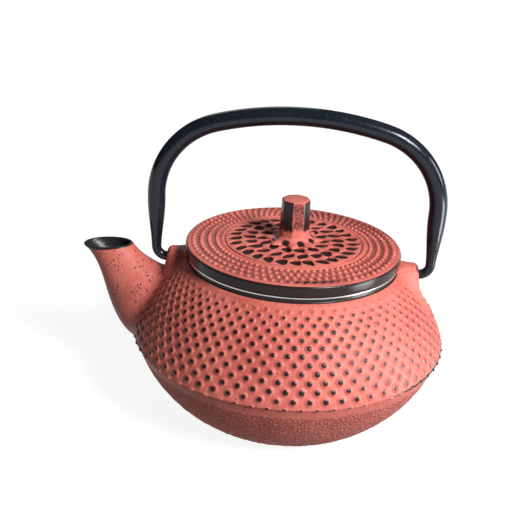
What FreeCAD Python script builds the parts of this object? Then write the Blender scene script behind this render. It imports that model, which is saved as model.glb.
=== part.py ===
import FreeCAD, Part
import math
import os
import re

import Sketcher

# Cast-iron teapot with a bail handle, a lid and a lift-out tea basket.
# The origin is the middle of the foot on the table, Z is up, the spout points to -X.

# Driving dimensions in millimetres and degrees. Heights without another base start at the table.
sizes = {
    # pot casting: foot, bowl, shoulder and mouth
    "foot_radius": 39.5,
    "foot_recess_radius": 27.0,
    "foot_recess_depth": 1.0,
    "bowl_curve": 57.3,
    "belly_radius": 66.0,
    "belly_height": 34.0,
    "lip_step": 0.7,
    "shoulder_curve": 82.0,
    "neck_step": 0.8,
    "rim_radius": 43.6,
    "rim_height": 68.0,
    "rim_band": 1.9,
    "mouth_radius": 38.6,
    "mouth_land": 2.8,
    "wall": 4.0,
    # spout stations, each an oval across the spout, from inside the bowl to the open lip:
    # reach beyond the belly, rise over the belly, tilt from level, half length and half width
    "root_reach": -16.0,
    "root_rise": 3.0,
    "root_tilt": 60.0,
    "root_length": 15.0,
    "root_width": 11.5,
    "flank_reach": -4.5,
    "flank_rise": 9.0,
    "flank_tilt": 53.0,
    "flank_length": 16.8,
    "flank_width": 12.6,
    "waist_reach": 3.6,
    "waist_rise": 20.0,
    "waist_tilt": 34.0,
    "waist_length": 11.6,
    "waist_width": 9.8,
    "lip_reach": 12.1,
    "lip_rise": 33.5,
    "lip_tilt": 2.7,
    "lip_length": 10.5,
    "lip_width": 6.9,
    "spout_wall": 2.4,
    # hobnails in rows up the shoulder, smaller where it narrows; the first row's place and the step
    # between rows are measured along the shoulder from the belly
    "nail_foot": 3.1,
    "nail_tip": 1.1,
    "nail_height": 0.8,
    "nail_sunk": 0.25,
    "nail_start": 2.85,
    "nail_step": 3.43,
    "nail_margin": 2.5,
    # ears on the shoulder and the sockets for the bail
    "pivot_height": 63.2,
    "ear_reach": 9.2,
    "ear_radius": 4.7,
    "ear_round": 2.4,
    "ear_foot_width": 13.0,
    "ear_root_inset": 2.5,
    "ear_root_depth": 14.0,
    "socket_depth": 8.0,
    "socket_clearance": 0.1,
    # bail handle: the rise is from the pivot line to the top of the bar
    "handle_rise": 66.8,
    "bar_radius": 3.7,
    "crown_curve": 126.0,
    "corner_curve": 32.3,
    "leg_offset": 4.7,
    "leg_straight": 5.4,
    "taper_bottom": 5.5,
    "hook_radius": 2.0,
    "hook_bend": 4.4,
    "hook_end_gap": 1.0,
    # tea basket
    "flange_thickness": 0.7,
    "flange_radius": 44.3,
    "basket_clearance": 0.6,
    "sheet_thickness": 0.5,
    "collar_depth": 10.0,
    "mesh_thickness": 0.4,
    "mesh_lap": 3.5,
    "mesh_fit": 0.05,
    "basket_depth": 38.0,
    "band_height": 4.5,
    "band_lip": 3.0,
    # lid
    "lid_radius": 44.7,
    "lid_edge": 4.8,
    "lid_edge_round": 1.2,
    "lid_foot_round": 0.8,
    "lid_crown": 1.2,
    "lid_crown_curve": 500.0,
    "lid_plate": 4.5,
    "skirt_clearance": 0.6,
    "skirt_depth": 6.5,
    "skirt_thickness": 3.0,
    # knob, its foot, tenon and washer
    "knob_seat_radius": 9.6,
    "knob_height": 17.9,
    "knob_top_width": 11.2,
    "knob_base_width": 11.9,
    "knob_edge_round": 0.9,
    "knob_foot_radius": 8.8,
    "knob_foot_edge": 0.8,
    "knob_foot_height": 4.6,
    "knob_foot_curve": 5.0,
    "tenon_radius": 2.5,
    "tenon_clearance": 0.1,
    "washer_radius": 7.0,
    "washer_thickness": 1.2,
    "rivet_head_radius": 4.2,
    "rivet_head_height": 1.6,
}

knob_sides = 8
nail_columns = 68
nail_turn = 0.28  # how far the first nail stands before the X axis, as a share of the gap between nails

doc = FreeCAD.newDocument("Teapot")
sheet = doc.addObject("Spreadsheet::Sheet", "Sizes")
for row, (alias, value) in enumerate(sizes.items(), start=1):
    sheet.set("A%d" % row, alias)
    sheet.set("B%d" % row, str(value))
    sheet.setAlias("B%d" % row, alias)
doc.recompute()


def bound(text):
    # the formula with each size written as a reference to its cell
    return re.sub(r"[a-z]\w*", lambda word: "Sizes." + word[0] if word[0] in sizes else word[0], text)


def number(text):
    return float(sheet.evalExpression(bound(text)))


def bind(item, prop, text):
    item.setExpression(prop, bound(text))


# Heights and radii that several pieces share.
lid_base = "(rim_height + flange_thickness)"
lid_seat = "(rim_height + flange_thickness + lid_edge + lid_crown)"
lid_underside = "(rim_height + flange_thickness + lid_edge + lid_crown - lid_plate)"
collar_inner = "(mouth_radius - basket_clearance - sheet_thickness)"
mesh_outer = "(mouth_radius - basket_clearance - sheet_thickness - mesh_fit)"
basket_base = "(rim_height - basket_depth)"
ear_face = "(rim_radius + ear_reach)"
leg_line = "(rim_radius + ear_reach + leg_offset)"


def plane_of(body, role):
    return next(item for item in body.Origin.OriginFeatures if item.Role == role)


def new_body(label):
    body = doc.addObject("PartDesign::Body", label)
    body.Label = label
    return body


def new_sketch(body, name, role, lift=None):
    sketch = body.newObject("Sketcher::SketchObject", name)
    sketch.AttachmentSupport = [(plane_of(body, role), "")]
    sketch.MapMode = "FlatFace"
    if lift:
        bind(sketch, "AttachmentOffset.Base.z", lift)
    return sketch


def add_datum(sketch, kind, places, text):
    # a driving dimension of the sketch, bound to its formula
    index = sketch.addConstraint(Sketcher.Constraint(kind, *places, number(text)))
    bind(sketch, "Constraints[%d]" % index, text)


def arc_centre(start, end, radius):
    half = (end - start) * 0.5
    left = FreeCAD.Vector(-half.y, half.x, 0).normalize()
    reach = math.sqrt(radius ** 2 - half.Length ** 2)
    return start + half + left * math.copysign(reach, radius)


def add_arc(sketch, start, end, radius):
    # an arc from start to end, turning left for a positive radius and right for a negative one
    centre = arc_centre(start, end, radius)
    first, last = (start, end) if radius > 0 else (end, start)
    angles = [math.atan2(point.y - centre.y, point.x - centre.x) for point in (first, last)]
    circle = Part.Circle(centre, FreeCAD.Vector(0, 0, 1), abs(radius))
    return sketch.addGeometry(Part.ArcOfCircle(circle, *angles))


def draw(sketch, points, curves=None, closed=True):
    # lines and arcs through the points; curves gives the radius formula of the run after a point
    curves = curves or {}
    places = [FreeCAD.Vector(number(x), number(y), 0) for x, y in points]
    count = len(points) if closed else len(points) - 1
    ends = []
    for index in range(count):
        start, end = places[index], places[(index + 1) % len(points)]
        if index in curves:
            radius = number(curves[index])
            run = add_arc(sketch, start, end, radius)
            add_datum(sketch, "Radius", (run,), "abs(%s)" % curves[index])
            ends.append((run, 1, 2) if radius > 0 else (run, 2, 1))
        else:
            run = sketch.addGeometry(Part.LineSegment(start, end))
            ends.append((run, 1, 2))
    for index in range(count if closed else count - 1):
        run, last = ends[index][0], ends[index][2]
        after, first = ends[(index + 1) % count][:2]
        sketch.addConstraint(Sketcher.Constraint("Coincident", run, last, after, first))
    for index, (x, y) in enumerate(points):
        run, corner = ends[index][:2] if index < count else (ends[-1][0], ends[-1][2])
        add_datum(sketch, "DistanceX", (run, corner), x)
        add_datum(sketch, "DistanceY", (run, corner), y)


def draw_circle(sketch, x, radius):
    circle = Part.Circle(FreeCAD.Vector(number(x), 0, 0), FreeCAD.Vector(0, 0, 1), number(radius))
    run = sketch.addGeometry(circle)
    sketch.addConstraint(Sketcher.Constraint("PointOnObject", run, 3, -1))
    add_datum(sketch, "DistanceX", (run, 3), x)
    add_datum(sketch, "Radius", (run,), radius)


def turned(body, name, points, curves=None):
    # a solid of revolution about the pot's axis, from its half section
    sketch = new_sketch(body, name + "_section", "XZ_Plane")
    draw(sketch, points, curves)
    turn = body.newObject("PartDesign::Revolution", name)
    turn.Profile = sketch
    turn.ReferenceAxis = (sketch, ["V_Axis"])
    turn.Angle = 360
    doc.recompute()
    return turn


def swept(body, name, radius, x, lift, points, curves):
    # a round bar along lines and arcs in the plane of the handle
    path = new_sketch(body, name + "_path", "XZ_Plane")
    draw(path, points, curves, closed=False)
    section = new_sketch(body, name + "_section", "XY_Plane", lift)
    draw_circle(section, x, radius)
    doc.recompute()
    pipe = body.newObject("PartDesign::AdditivePipe", name)
    pipe.Profile = section
    pipe.Spine = (path, ["Edge%d" % (index + 1) for index in range(len(points) - 1)])
    doc.recompute()
    return pipe


def make_shell():
    body = new_body("shell")
    turned(body, "outer", [
        ("0", "foot_recess_depth"),
        ("foot_recess_radius", "foot_recess_depth"),
        ("foot_recess_radius + foot_recess_depth", "0"),
        ("foot_radius", "0"),
        ("belly_radius - lip_step", "belly_height - lip_step"),
        ("belly_radius", "belly_height"),
        ("rim_radius + neck_step", "rim_height - rim_band"),
        ("rim_radius", "rim_height - rim_band"),
        ("rim_radius", "rim_height"),
        ("0", "rim_height"),
    ], {3: "bowl_curve", 5: "shoulder_curve"})
    # turned half round, so that the seam of its faces lies under the spout, away from the nails
    body.Placement.Rotation = FreeCAD.Rotation(FreeCAD.Vector(0, 0, 1), 180)
    return body


def make_cavity():
    body = new_body("cavity")
    turned(body, "hollow", [
        ("0", "foot_recess_depth + wall"),
        ("foot_radius", "foot_recess_depth + wall"),
        ("belly_radius - wall", "belly_height"),
        ("mouth_radius", "rim_height - mouth_land"),
        ("mouth_radius", "rim_height + wall"),
        ("0", "rim_height + wall"),
    ], {1: "bowl_curve - wall", 2: "shoulder_curve - wall"})
    return body


def make_spout_loft(name, trim):
    # a loft through the oval stations, each trimmed by the given wall
    ovals = []
    for station in ("root", "flank", "waist", "lip"):
        oval = doc.addObject("Part::Ellipse", "%s_%s" % (name, station))
        oval.Placement.Rotation = FreeCAD.Rotation(FreeCAD.Vector(0, -1, 0), number(station + "_tilt"))
        bind(oval, "MajorRadius", "%s_length - %s" % (station, trim))
        bind(oval, "MinorRadius", "%s_width - %s" % (station, trim))
        bind(oval, "Placement.Base.x", "-(belly_radius + %s_reach)" % station)
        bind(oval, "Placement.Base.z", "belly_height + %s_rise" % station)
        bind(oval, "Placement.Rotation.Angle", station + "_tilt")
        ovals.append(oval)
    loft = doc.addObject("Part::Loft", name)
    loft.Sections = ovals
    loft.Solid = True
    return loft


def make_ear():
    # a knuckle that is round about the pivot line and widens down into the shoulder
    body = new_body("ear")
    sketch = new_sketch(body, "ear_outline", "YZ_Plane", "rim_radius - ear_root_inset")
    low = "pivot_height - ear_root_depth"
    draw(sketch, [
        ("-ear_foot_width / 2", low),
        ("ear_foot_width / 2", low),
        ("ear_radius", "pivot_height"),
        ("0", "pivot_height + ear_radius"),
        ("-ear_radius", "pivot_height"),
    ], {2: "ear_radius", 3: "ear_radius"})
    pad = body.newObject("PartDesign::Pad", "ear_pad")
    pad.Profile = sketch
    bind(pad, "Length", "ear_reach + ear_root_inset")
    doc.recompute()
    face = number(ear_face)
    foot = number(low)
    edges = [
        "Edge%d" % (index + 1)
        for index, edge in enumerate(pad.Shape.Edges)
        if edge.BoundBox.XMin > face - 1e-6 and edge.BoundBox.ZMax > foot + 1e-6
    ]
    fillet = body.newObject("PartDesign::Fillet", "ear_rounding")
    fillet.Base = (pad, edges)
    bind(fillet, "Radius", "ear_round")
    return body


def make_socket(name, side):
    # the blind hole that a hook of the bail turns in
    socket = doc.addObject("Part::Cylinder", name)
    socket.Placement.Rotation = FreeCAD.Rotation(FreeCAD.Vector(0, 1, 0), 90 * side)
    bind(socket, "Radius", "hook_radius + socket_clearance")
    bind(socket, "Height", "socket_depth + ear_round")
    bind(socket, "Placement.Base.x", "%d * (%s - socket_depth)" % (side, ear_face))
    bind(socket, "Placement.Base.z", "pivot_height")
    return socket


def nail_rows():
    # each row's radius and height on the shoulder, and the lean of the shoulder's normal there
    belly = FreeCAD.Vector(number("belly_radius"), number("belly_height"), 0)
    neck = FreeCAD.Vector(number("rim_radius + neck_step"), number("rim_height - rim_band"), 0)
    curve = number("shoulder_curve")
    centre = arc_centre(belly, neck, curve)
    first = math.atan2(belly.y - centre.y, belly.x - centre.x)
    last = math.atan2(neck.y - centre.y, neck.x - centre.x)
    run = number("nail_start")
    rows = []
    while run < (last - first) * curve - number("nail_margin"):
        lean = first + run / curve
        radius = centre.x + curve * math.cos(lean)
        rows.append((radius, centre.y + curve * math.sin(lean), lean))
        run += number("nail_step") * radius / belly.x
    return rows


def nail_has_room(place):
    # false where the root of the spout or an ear stands in the nail's place
    size = number("nail_foot / 2")
    across = place.y / (number("flank_width") + size)
    upward = (place.z - number("belly_height + flank_rise")) / (number("flank_length") + size)
    at_spout = place.x < 0 and math.hypot(across, upward) < 1
    at_ear = abs(place.y) < number("ear_foot_width / 2") + size
    return not at_spout and not (at_ear and place.z > number("pivot_height - ear_root_depth") - size)


def make_nail(share):
    # a low four-sided spike with a flat tip, standing on the origin with its foot sunk below
    squares = []
    for side, height in (("nail_foot", -number("nail_sunk")), ("nail_tip", number("nail_height"))):
        half = number(side) / 2
        corners = [(half, half), (-half, half), (-half, -half), (half, -half), (half, half)]
        squares.append(Part.makePolygon([FreeCAD.Vector(x, y, height) * share for x, y in corners]))
    return Part.makeLoft(squares, True, True)


def make_nails():
    nails = []
    for row, (radius, height, lean) in enumerate(nail_rows()):
        nail = make_nail(radius / number("belly_radius"))
        for column in range(nail_columns):
            turn = 2 * math.pi * (column - nail_turn + row % 2 / 2) / nail_columns
            place = FreeCAD.Vector(radius * math.cos(turn), radius * math.sin(turn), height)
            if nail_has_room(place):
                tilted = FreeCAD.Rotation(math.degrees(turn), 90 - math.degrees(lean), 0)
                nails.append(nail.copy())
                nails[-1].Placement = FreeCAD.Placement(place, tilted)
    return nails


def joined(name, shapes):
    fuse = doc.addObject("Part::MultiFuse", name)
    fuse.Shapes = shapes
    fuse.Refine = True
    return fuse


def cut(name, base, tool):
    rest = doc.addObject("Part::Cut", name)
    rest.Base = base
    rest.Tool = tool
    rest.Label = name
    return rest


def make_pot():
    # the bowl with its ears and nails, and the spout that meets it all round its root; the bore runs through both
    ear = make_ear()
    other_ear = doc.addObject("Part::Mirroring", "other_ear")
    other_ear.Source = ear
    other_ear.Normal = FreeCAD.Vector(1, 0, 0)
    bowl = joined("bowl_solid", [make_shell(), ear, other_ear])
    bore = make_spout_loft("spout_bore", "spout_wall")
    cored = cut("bowl_cored", bowl, joined("bowl_hollow", [make_cavity(), bore]))
    sockets = [make_socket("spout_side_socket", -1), make_socket("rear_side_socket", 1)]
    plain = cut("plain_pot", cored, joined("sockets", sockets))
    # hundreds of nails are too many for features of their own, so they join the finished casting at once
    doc.recompute()
    pot_body = doc.addObject("Part::Feature", "pot_body")
    pot_body.Shape = plain.Shape.multiFuse(make_nails())
    spout = cut("spout", make_spout_loft("spout_solid", "0"), joined("bowl_and_bore", [bowl, bore]))
    return [pot_body, spout]


def make_bail_handle():
    body = new_body("bail_handle")
    # the crown arc is tangent to the corner arcs, whose centres stand inside the legs
    crown_centre = "(pivot_height + handle_rise - bar_radius - crown_curve)"
    between = "(crown_curve - corner_curve)"
    aside = "(%s - corner_curve)" % leg_line
    upward = "sqrt(%s ^ 2 - %s ^ 2)" % (between, aside)
    corner_height = "(%s + %s)" % (crown_centre, upward)
    join_x = "(crown_curve * %s / %s)" % (aside, between)
    join_z = "(%s + crown_curve * %s / %s)" % (crown_centre, upward, between)
    # below its corner each leg is straight for a little, then tapers down to the hook
    taper_start = "(%s - leg_straight)" % corner_height
    taper_end = "(pivot_height + taper_bottom)"
    swept(body, "bar", "bar_radius", leg_line, taper_start, [
        (leg_line, taper_start),
        (leg_line, corner_height),
        (join_x, join_z),
        ("-" + join_x, join_z),
        ("-" + leg_line, corner_height),
        ("-" + leg_line, taper_start),
    ], {1: "corner_curve", 2: "crown_curve", 3: "corner_curve"})

    leg = body.newObject("PartDesign::AdditiveCone", "leg_taper")
    leg.AttachmentSupport = [(plane_of(body, "XY_Plane"), "")]
    leg.MapMode = "FlatFace"
    bind(leg, "AttachmentOffset.Base.x", leg_line)
    bind(leg, "AttachmentOffset.Base.z", taper_end)
    bind(leg, "Radius1", "hook_radius")
    bind(leg, "Radius2", "bar_radius")
    bind(leg, "Height", "%s - %s" % (taper_start, taper_end))
    doc.recompute()

    # the hook drops from the leg, bends inwards and runs along the pivot line
    hook = swept(body, "hook", "hook_radius", leg_line, taper_end, [
        (leg_line, taper_end),
        (leg_line, "pivot_height + hook_bend"),
        (leg_line + " - hook_bend", "pivot_height"),
        (ear_face + " - socket_depth + hook_end_gap", "pivot_height"),
    ], {1: "-hook_bend"})
    mirror = body.newObject("PartDesign::Mirrored", "other_leg")
    mirror.Originals = [leg, hook]
    mirror.MirrorPlane = (plane_of(body, "YZ_Plane"), [""])
    body.Tip = mirror
    return body


def make_lid():
    body = new_body("lid")
    skirt_outer = "(%s - skirt_clearance)" % collar_inner
    top = "(%s + lid_edge)" % lid_base
    bore = "(tenon_radius + tenon_clearance)"
    turned(body, "lid_casting", [
        (bore, lid_underside),
        (skirt_outer + " - skirt_thickness", lid_underside),
        (skirt_outer + " - skirt_thickness", lid_base + " - skirt_depth"),
        (skirt_outer, lid_base + " - skirt_depth"),
        (skirt_outer, lid_base),
        ("lid_radius - lid_foot_round", lid_base),
        ("lid_radius", lid_base + " + lid_foot_round"),
        ("lid_radius", top + " - lid_edge_round"),
        ("lid_radius - lid_edge_round", top),
        ("knob_seat_radius", lid_seat),
        (bore, lid_seat),
    ], {5: "lid_foot_round", 7: "lid_edge_round", 8: "lid_crown_curve"})
    return body


def make_lid_knob():
    body = new_body("lid_knob")
    # a slightly tapered column with flat sides
    sketch = new_sketch(body, "column_outline", "XY_Plane", lid_seat)
    corners = []
    for index in range(knob_sides):
        turn = math.pi * (2 * index + 1) / knob_sides
        reach = "knob_base_width / 2 / %.9f" % math.cos(math.pi / knob_sides)
        corners.append(("%s * %.9f" % (reach, math.cos(turn)), "%s * %.9f" % (reach, math.sin(turn))))
    draw(sketch, corners)
    column = body.newObject("PartDesign::Pad", "column")
    column.Profile = sketch
    bind(column, "Length", "knob_height")
    bind(column, "TaperAngle", "-atan((knob_base_width - knob_top_width) / 2 / knob_height)")
    doc.recompute()
    seat = number(lid_seat)
    edges = [
        "Edge%d" % (index + 1)
        for index, edge in enumerate(column.Shape.Edges)
        if edge.BoundBox.ZMax > seat + number("knob_foot_height")
    ]
    fillet = body.newObject("PartDesign::Fillet", "column_rounding")
    fillet.Base = (column, edges)
    bind(fillet, "Radius", "knob_edge_round")
    doc.recompute()
    # the flared foot, the tenon through the lid and the head peened under the washer
    washer_base = "(%s - washer_thickness)" % lid_underside
    turned(body, "foot_and_tenon", [
        ("0", washer_base + " - rivet_head_height"),
        ("rivet_head_radius / 2", washer_base + " - rivet_head_height"),
        ("rivet_head_radius", washer_base),
        ("tenon_radius", washer_base),
        ("tenon_radius", lid_seat),
        ("knob_foot_radius", lid_seat),
        ("knob_foot_radius", lid_seat + " + knob_foot_edge"),
        ("knob_base_width / 2 - knob_edge_round", lid_seat + " + knob_foot_height"),
        ("0", lid_seat + " + knob_foot_height"),
    ], {6: "-knob_foot_curve"})
    return body


def make_knob_washer():
    body = new_body("knob_washer")
    bore = "(tenon_radius + tenon_clearance)"
    turned(body, "washer", [
        (bore, lid_underside + " - washer_thickness"),
        ("washer_radius", lid_underside + " - washer_thickness"),
        ("washer_radius", lid_underside),
        (bore, lid_underside),
    ])
    return body


def make_infuser_rim():
    body = new_body("infuser_rim")
    collar_outer = "(%s + sheet_thickness)" % collar_inner
    turned(body, "flange_and_collar", [
        (collar_inner, "rim_height - collar_depth"),
        (collar_outer, "rim_height - collar_depth"),
        (collar_outer, "rim_height"),
        ("flange_radius", "rim_height"),
        ("flange_radius", lid_base),
        (collar_inner, lid_base),
    ])
    return body


def make_infuser_wall():
    body = new_body("infuser_wall")
    foot = "%s + sheet_thickness + mesh_thickness" % basket_base
    top = "rim_height - collar_depth + mesh_lap"
    turned(body, "mesh_wall", [
        (mesh_outer + " - mesh_thickness", foot),
        (mesh_outer, foot),
        (mesh_outer, top),
        (mesh_outer + " - mesh_thickness", top),
    ])
    return body


def make_infuser_floor():
    body = new_body("infuser_floor")
    low = "%s + sheet_thickness" % basket_base
    turned(body, "mesh_floor", [
        ("0", low),
        (mesh_outer, low),
        (mesh_outer, low + " + mesh_thickness"),
        ("0", low + " + mesh_thickness"),
    ])
    return body


def make_infuser_base_band():
    body = new_body("infuser_base_band")
    turned(body, "crimped_band", [
        (collar_inner + " - band_lip", basket_base),
        (collar_inner + " + sheet_thickness", basket_base),
        (collar_inner + " + sheet_thickness", basket_base + " + band_height"),
        (collar_inner, basket_base + " + band_height"),
        (collar_inner, basket_base + " + sheet_thickness"),
        (collar_inner + " - band_lip", basket_base + " + sheet_thickness"),
    ])
    return body


sub_parts = [
    *make_pot(),
    make_bail_handle(),
    make_lid(),
    make_lid_knob(),
    make_knob_washer(),
    make_infuser_rim(),
    make_infuser_wall(),
    make_infuser_floor(),
    make_infuser_base_band(),
]
doc.recompute()

failed = [item.Name for item in doc.Objects if "Invalid" in item.State or "Error" in item.State]
for item in sub_parts:
    shape = item.Shape
    if shape.isNull() or not shape.isValid() or len(shape.Solids) != 1:
        failed.append(item.Label)
if failed:
    raise SystemExit("these did not build: " + ", ".join(failed))

os.makedirs("parts", exist_ok=True)
for item in sub_parts:
    item.Shape.exportStep(os.path.join("parts", item.Label + ".step"))
    print("%-18s %10.1f mm3" % (item.Label, item.Shape.Volume))
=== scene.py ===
import bmesh
import bpy
import math
import random
from mathutils import Matrix, Vector


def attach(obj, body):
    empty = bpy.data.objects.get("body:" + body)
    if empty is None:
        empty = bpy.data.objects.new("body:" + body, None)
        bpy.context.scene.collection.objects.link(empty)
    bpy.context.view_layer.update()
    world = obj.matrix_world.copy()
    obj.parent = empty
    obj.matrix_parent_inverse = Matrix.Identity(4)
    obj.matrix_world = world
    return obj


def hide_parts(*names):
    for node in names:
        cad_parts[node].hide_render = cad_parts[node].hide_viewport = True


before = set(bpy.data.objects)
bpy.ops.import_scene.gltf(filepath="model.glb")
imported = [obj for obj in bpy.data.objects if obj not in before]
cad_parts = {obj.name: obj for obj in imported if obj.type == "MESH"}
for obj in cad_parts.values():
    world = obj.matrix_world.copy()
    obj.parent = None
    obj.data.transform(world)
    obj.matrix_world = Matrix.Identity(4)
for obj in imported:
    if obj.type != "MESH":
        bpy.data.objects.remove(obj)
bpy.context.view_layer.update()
mm = 0.001
mergeGap = 1e-6  # metres; points closer than this become one
fullTurn = 2 * math.pi
print("frame loaded:", sorted(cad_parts))


# hand tools

def deselectAll():
    if bpy.context.object and bpy.context.object.mode == "EDIT":
        bpy.ops.object.mode_set(mode="OBJECT")
    bpy.ops.object.select_all(action="DESELECT")


def makeActive(piece):
    deselectAll()
    piece.select_set(True)
    bpy.context.view_layer.objects.active = piece


def openPiece(piece):
    makeActive(piece)
    bpy.ops.object.mode_set(mode="EDIT")
    return bmesh.from_edit_mesh(piece.data)


def closePiece():
    bpy.ops.object.mode_set(mode="OBJECT")


def faceOutwards():  # on the open piece
    bpy.ops.mesh.select_all(action="SELECT")
    bpy.ops.mesh.normals_make_consistent(inside=False)


def mergeDoubles():  # on the open piece
    bpy.ops.mesh.select_all(action="SELECT")
    bpy.ops.mesh.remove_doubles(threshold=mergeGap)
    faceOutwards()


def namePiece(name):
    piece = bpy.context.object
    piece.name = name
    piece.data.name = name
    return piece


def settlePiece(name):  # names a new primitive and moves its place into its mesh
    piece = namePiece(name)
    bpy.ops.object.transform_apply(location=True, rotation=True, scale=True)
    return piece


def pickFaces(piece, test):  # selects faces by their middle, in mm, and their normal
    bpy.ops.mesh.select_mode(type="FACE")
    bpy.ops.mesh.select_all(action="DESELECT")
    work = bmesh.from_edit_mesh(piece.data)
    for face in work.faces:
        face.select_set(bool(test(face.calc_center_median() / mm, face.normal)))
    bmesh.update_edit_mesh(piece.data)


def pickEdges(piece, test):  # selects edges by their middle, in mm, and the edge itself
    bpy.ops.mesh.select_mode(type="EDGE")
    bpy.ops.mesh.select_all(action="DESELECT")
    work = bmesh.from_edit_mesh(piece.data)
    for edge in work.edges:
        middle = (edge.verts[0].co + edge.verts[1].co) / (2 * mm)
        edge.select_set(bool(test(middle, edge)))
    bmesh.update_edit_mesh(piece.data)


def cutAcross(height, **settings):  # a level cut through the open piece, at a height in mm
    bpy.ops.mesh.select_mode(type="VERT")
    bpy.ops.mesh.select_all(action="SELECT")
    bpy.ops.mesh.bisect(plane_co=(0, 0, height * mm), plane_no=(0, 0, 1), **settings)


def useModifier(piece, kind, **settings):
    makeActive(piece)
    modifier = piece.modifiers.new(kind.title(), kind)
    for key, value in settings.items():
        setattr(modifier, key, value)
    bpy.ops.object.modifier_apply(modifier=modifier.name)


def cutAway(piece, core, **settings):
    useModifier(piece, "BOOLEAN", operation="DIFFERENCE", object=core, solver="EXACT", **settings)
    bpy.data.objects.remove(core)


def joinInto(piece, others):
    makeActive(piece)
    for other in others:
        other.select_set(True)
    bpy.ops.object.join()
    return piece


def copyOf(piece, move):
    twin = piece.copy()
    twin.data = piece.data.copy()
    twin.data.transform(move)
    bpy.context.scene.collection.objects.link(twin)
    return twin


def smoothPiece(piece, degrees):
    makeActive(piece)
    bpy.ops.object.shade_smooth_by_angle(angle=math.radians(degrees))


def setMarks(piece, name, values):  # one number on each point, which the paint reads
    marks = piece.data.attributes.new(name, "FLOAT", "POINT")
    marks.data.foreach_set("value", values)


def paintPoints(piece, name, rule):  # the numbers follow each point's place in mm
    setMarks(piece, name, [rule(point.co / mm) for point in piece.data.vertices])


def paintRings(piece, sides, rule):  # ink that follows a point's ring and its step round the ring
    setMarks(piece, "ink", [rule(*divmod(i, sides)) for i in range(len(piece.data.vertices))])


def startVertex(name):
    deselectAll()
    bpy.ops.mesh.primitive_plane_add(size=mm)
    piece = namePiece(name)
    bpy.ops.object.mode_set(mode="EDIT")
    bpy.ops.mesh.select_mode(type="VERT")
    bpy.ops.mesh.select_all(action="SELECT")
    bpy.ops.mesh.merge(type="CENTER")
    return piece


def turnPiece(name, profile, steps):  # a half section drawn point by point, then spun round the pot's axis
    piece = startVertex(name)
    bpy.ops.transform.translate(value=(profile[0][0] * mm, 0, profile[0][1] * mm))
    for (r0, z0), (r1, z1) in zip(profile, profile[1:]):
        bpy.ops.mesh.extrude_region_move(
            TRANSFORM_OT_translate={"value": ((r1 - r0) * mm, 0, (z1 - z0) * mm)})
    bpy.ops.mesh.select_all(action="SELECT")
    bpy.ops.mesh.spin(steps=steps, angle=fullTurn, center=(0, 0, 0), axis=(0, 0, 1))
    mergeDoubles()
    closePiece()
    return piece


def makeStud(name, profile, sides, paint):  # a nail or a bead, with its foot filled
    piece = turnPiece(name, profile, sides)
    openPiece(piece)
    pickEdges(piece, lambda middle, edge: len(edge.link_faces) == 1)
    bpy.ops.mesh.edge_face_add()
    faceOutwards()
    closePiece()
    piece.data.materials.append(paint)
    return piece


def arcRun(start, end, radius, count):  # points on an arc, turning left for a positive radius
    (x0, z0), (x1, z1) = start, end
    halfX, halfZ = (x1 - x0) / 2, (z1 - z0) / 2
    half = math.hypot(halfX, halfZ)
    reach = math.copysign(math.sqrt(radius ** 2 - half ** 2), radius)
    cx = x0 + halfX - halfZ / half * reach
    cz = z0 + halfZ + halfX / half * reach
    first = math.atan2(z0 - cz, x0 - cx)
    turn = turnBetween(math.atan2(z1 - cz, x1 - cx), first)
    size = abs(radius)
    return [(cx + size * math.cos(first + turn * i / count), cz + size * math.sin(first + turn * i / count))
            for i in range(count + 1)]


def turnBetween(first, second):
    return (first - second + math.pi) % fullTurn - math.pi


def halfway(steps):  # 1 halfway between two whole steps, 0 on a step
    return 1 - abs(steps % 1 - 0.5) * 2


def ease(low, high, value):
    share = min(1.0, max(0.0, (value - low) / (high - low)))
    return share * share * (3 - 2 * share)


def readLine(line, place):  # value at a place on a line of (place, value) points, held at both ends
    if place <= line[0][0]:
        return line[0][1]
    for (p0, v0), (p1, v1) in zip(line, line[1:]):
        if p0 <= place <= p1 and p1 > p0:
            return v0 + (v1 - v0) * (place - p0) / (p1 - p0)
    return line[-1][1]


# shader tools

def addNode(tree, kind, **settings):
    made = tree.nodes.new(kind)
    for key, value in settings.items():
        setattr(made, key, value)
    return made


def wire(tree, source, target):
    tree.links.new(source, target)


def feed(tree, socket, value):  # a plain value is set on the socket, an output is wired to it
    if isinstance(value, (int, float, tuple)):
        socket.default_value = value
    else:
        wire(tree, value, socket)


def newGroup(name, inputs, outputs):  # a place and numbers go in, numbers come out
    tree = bpy.data.node_groups.new(name, "ShaderNodeTree")
    tree.interface.new_socket("Vector", in_out="INPUT", socket_type="NodeSocketVector")
    for label, value in inputs.items():
        socket = tree.interface.new_socket(label, in_out="INPUT", socket_type="NodeSocketFloat")
        socket.default_value = value
    for label in outputs:
        tree.interface.new_socket(label, in_out="OUTPUT", socket_type="NodeSocketFloat")
    return tree, tree.nodes.new("NodeGroupInput"), tree.nodes.new("NodeGroupOutput")


def placeGroup(tree, group, **values):
    made = addNode(tree, "ShaderNodeGroup", node_tree=group)
    for label, value in values.items():
        feed(tree, made.inputs[label], value)
    return made.outputs


def mathNode(tree, operation, first, second):
    made = addNode(tree, "ShaderNodeMath", operation=operation)
    feed(tree, made.inputs[0], first)
    feed(tree, made.inputs[1], second)
    return made.outputs[0]


def times(tree, first, second):
    return mathNode(tree, "MULTIPLY", first, second)


def plus(tree, first, second):
    return mathNode(tree, "ADD", first, second)


def rangeNode(tree, value, low, high, newLow=0.0, newHigh=1.0):
    made = addNode(tree, "ShaderNodeMapRange", interpolation_type="SMOOTHSTEP")
    for label, number in (("Value", value), ("From Min", low), ("From Max", high),
                          ("To Min", newLow), ("To Max", newHigh)):
        feed(tree, made.inputs[label], number)
    return made.outputs["Result"]


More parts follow.
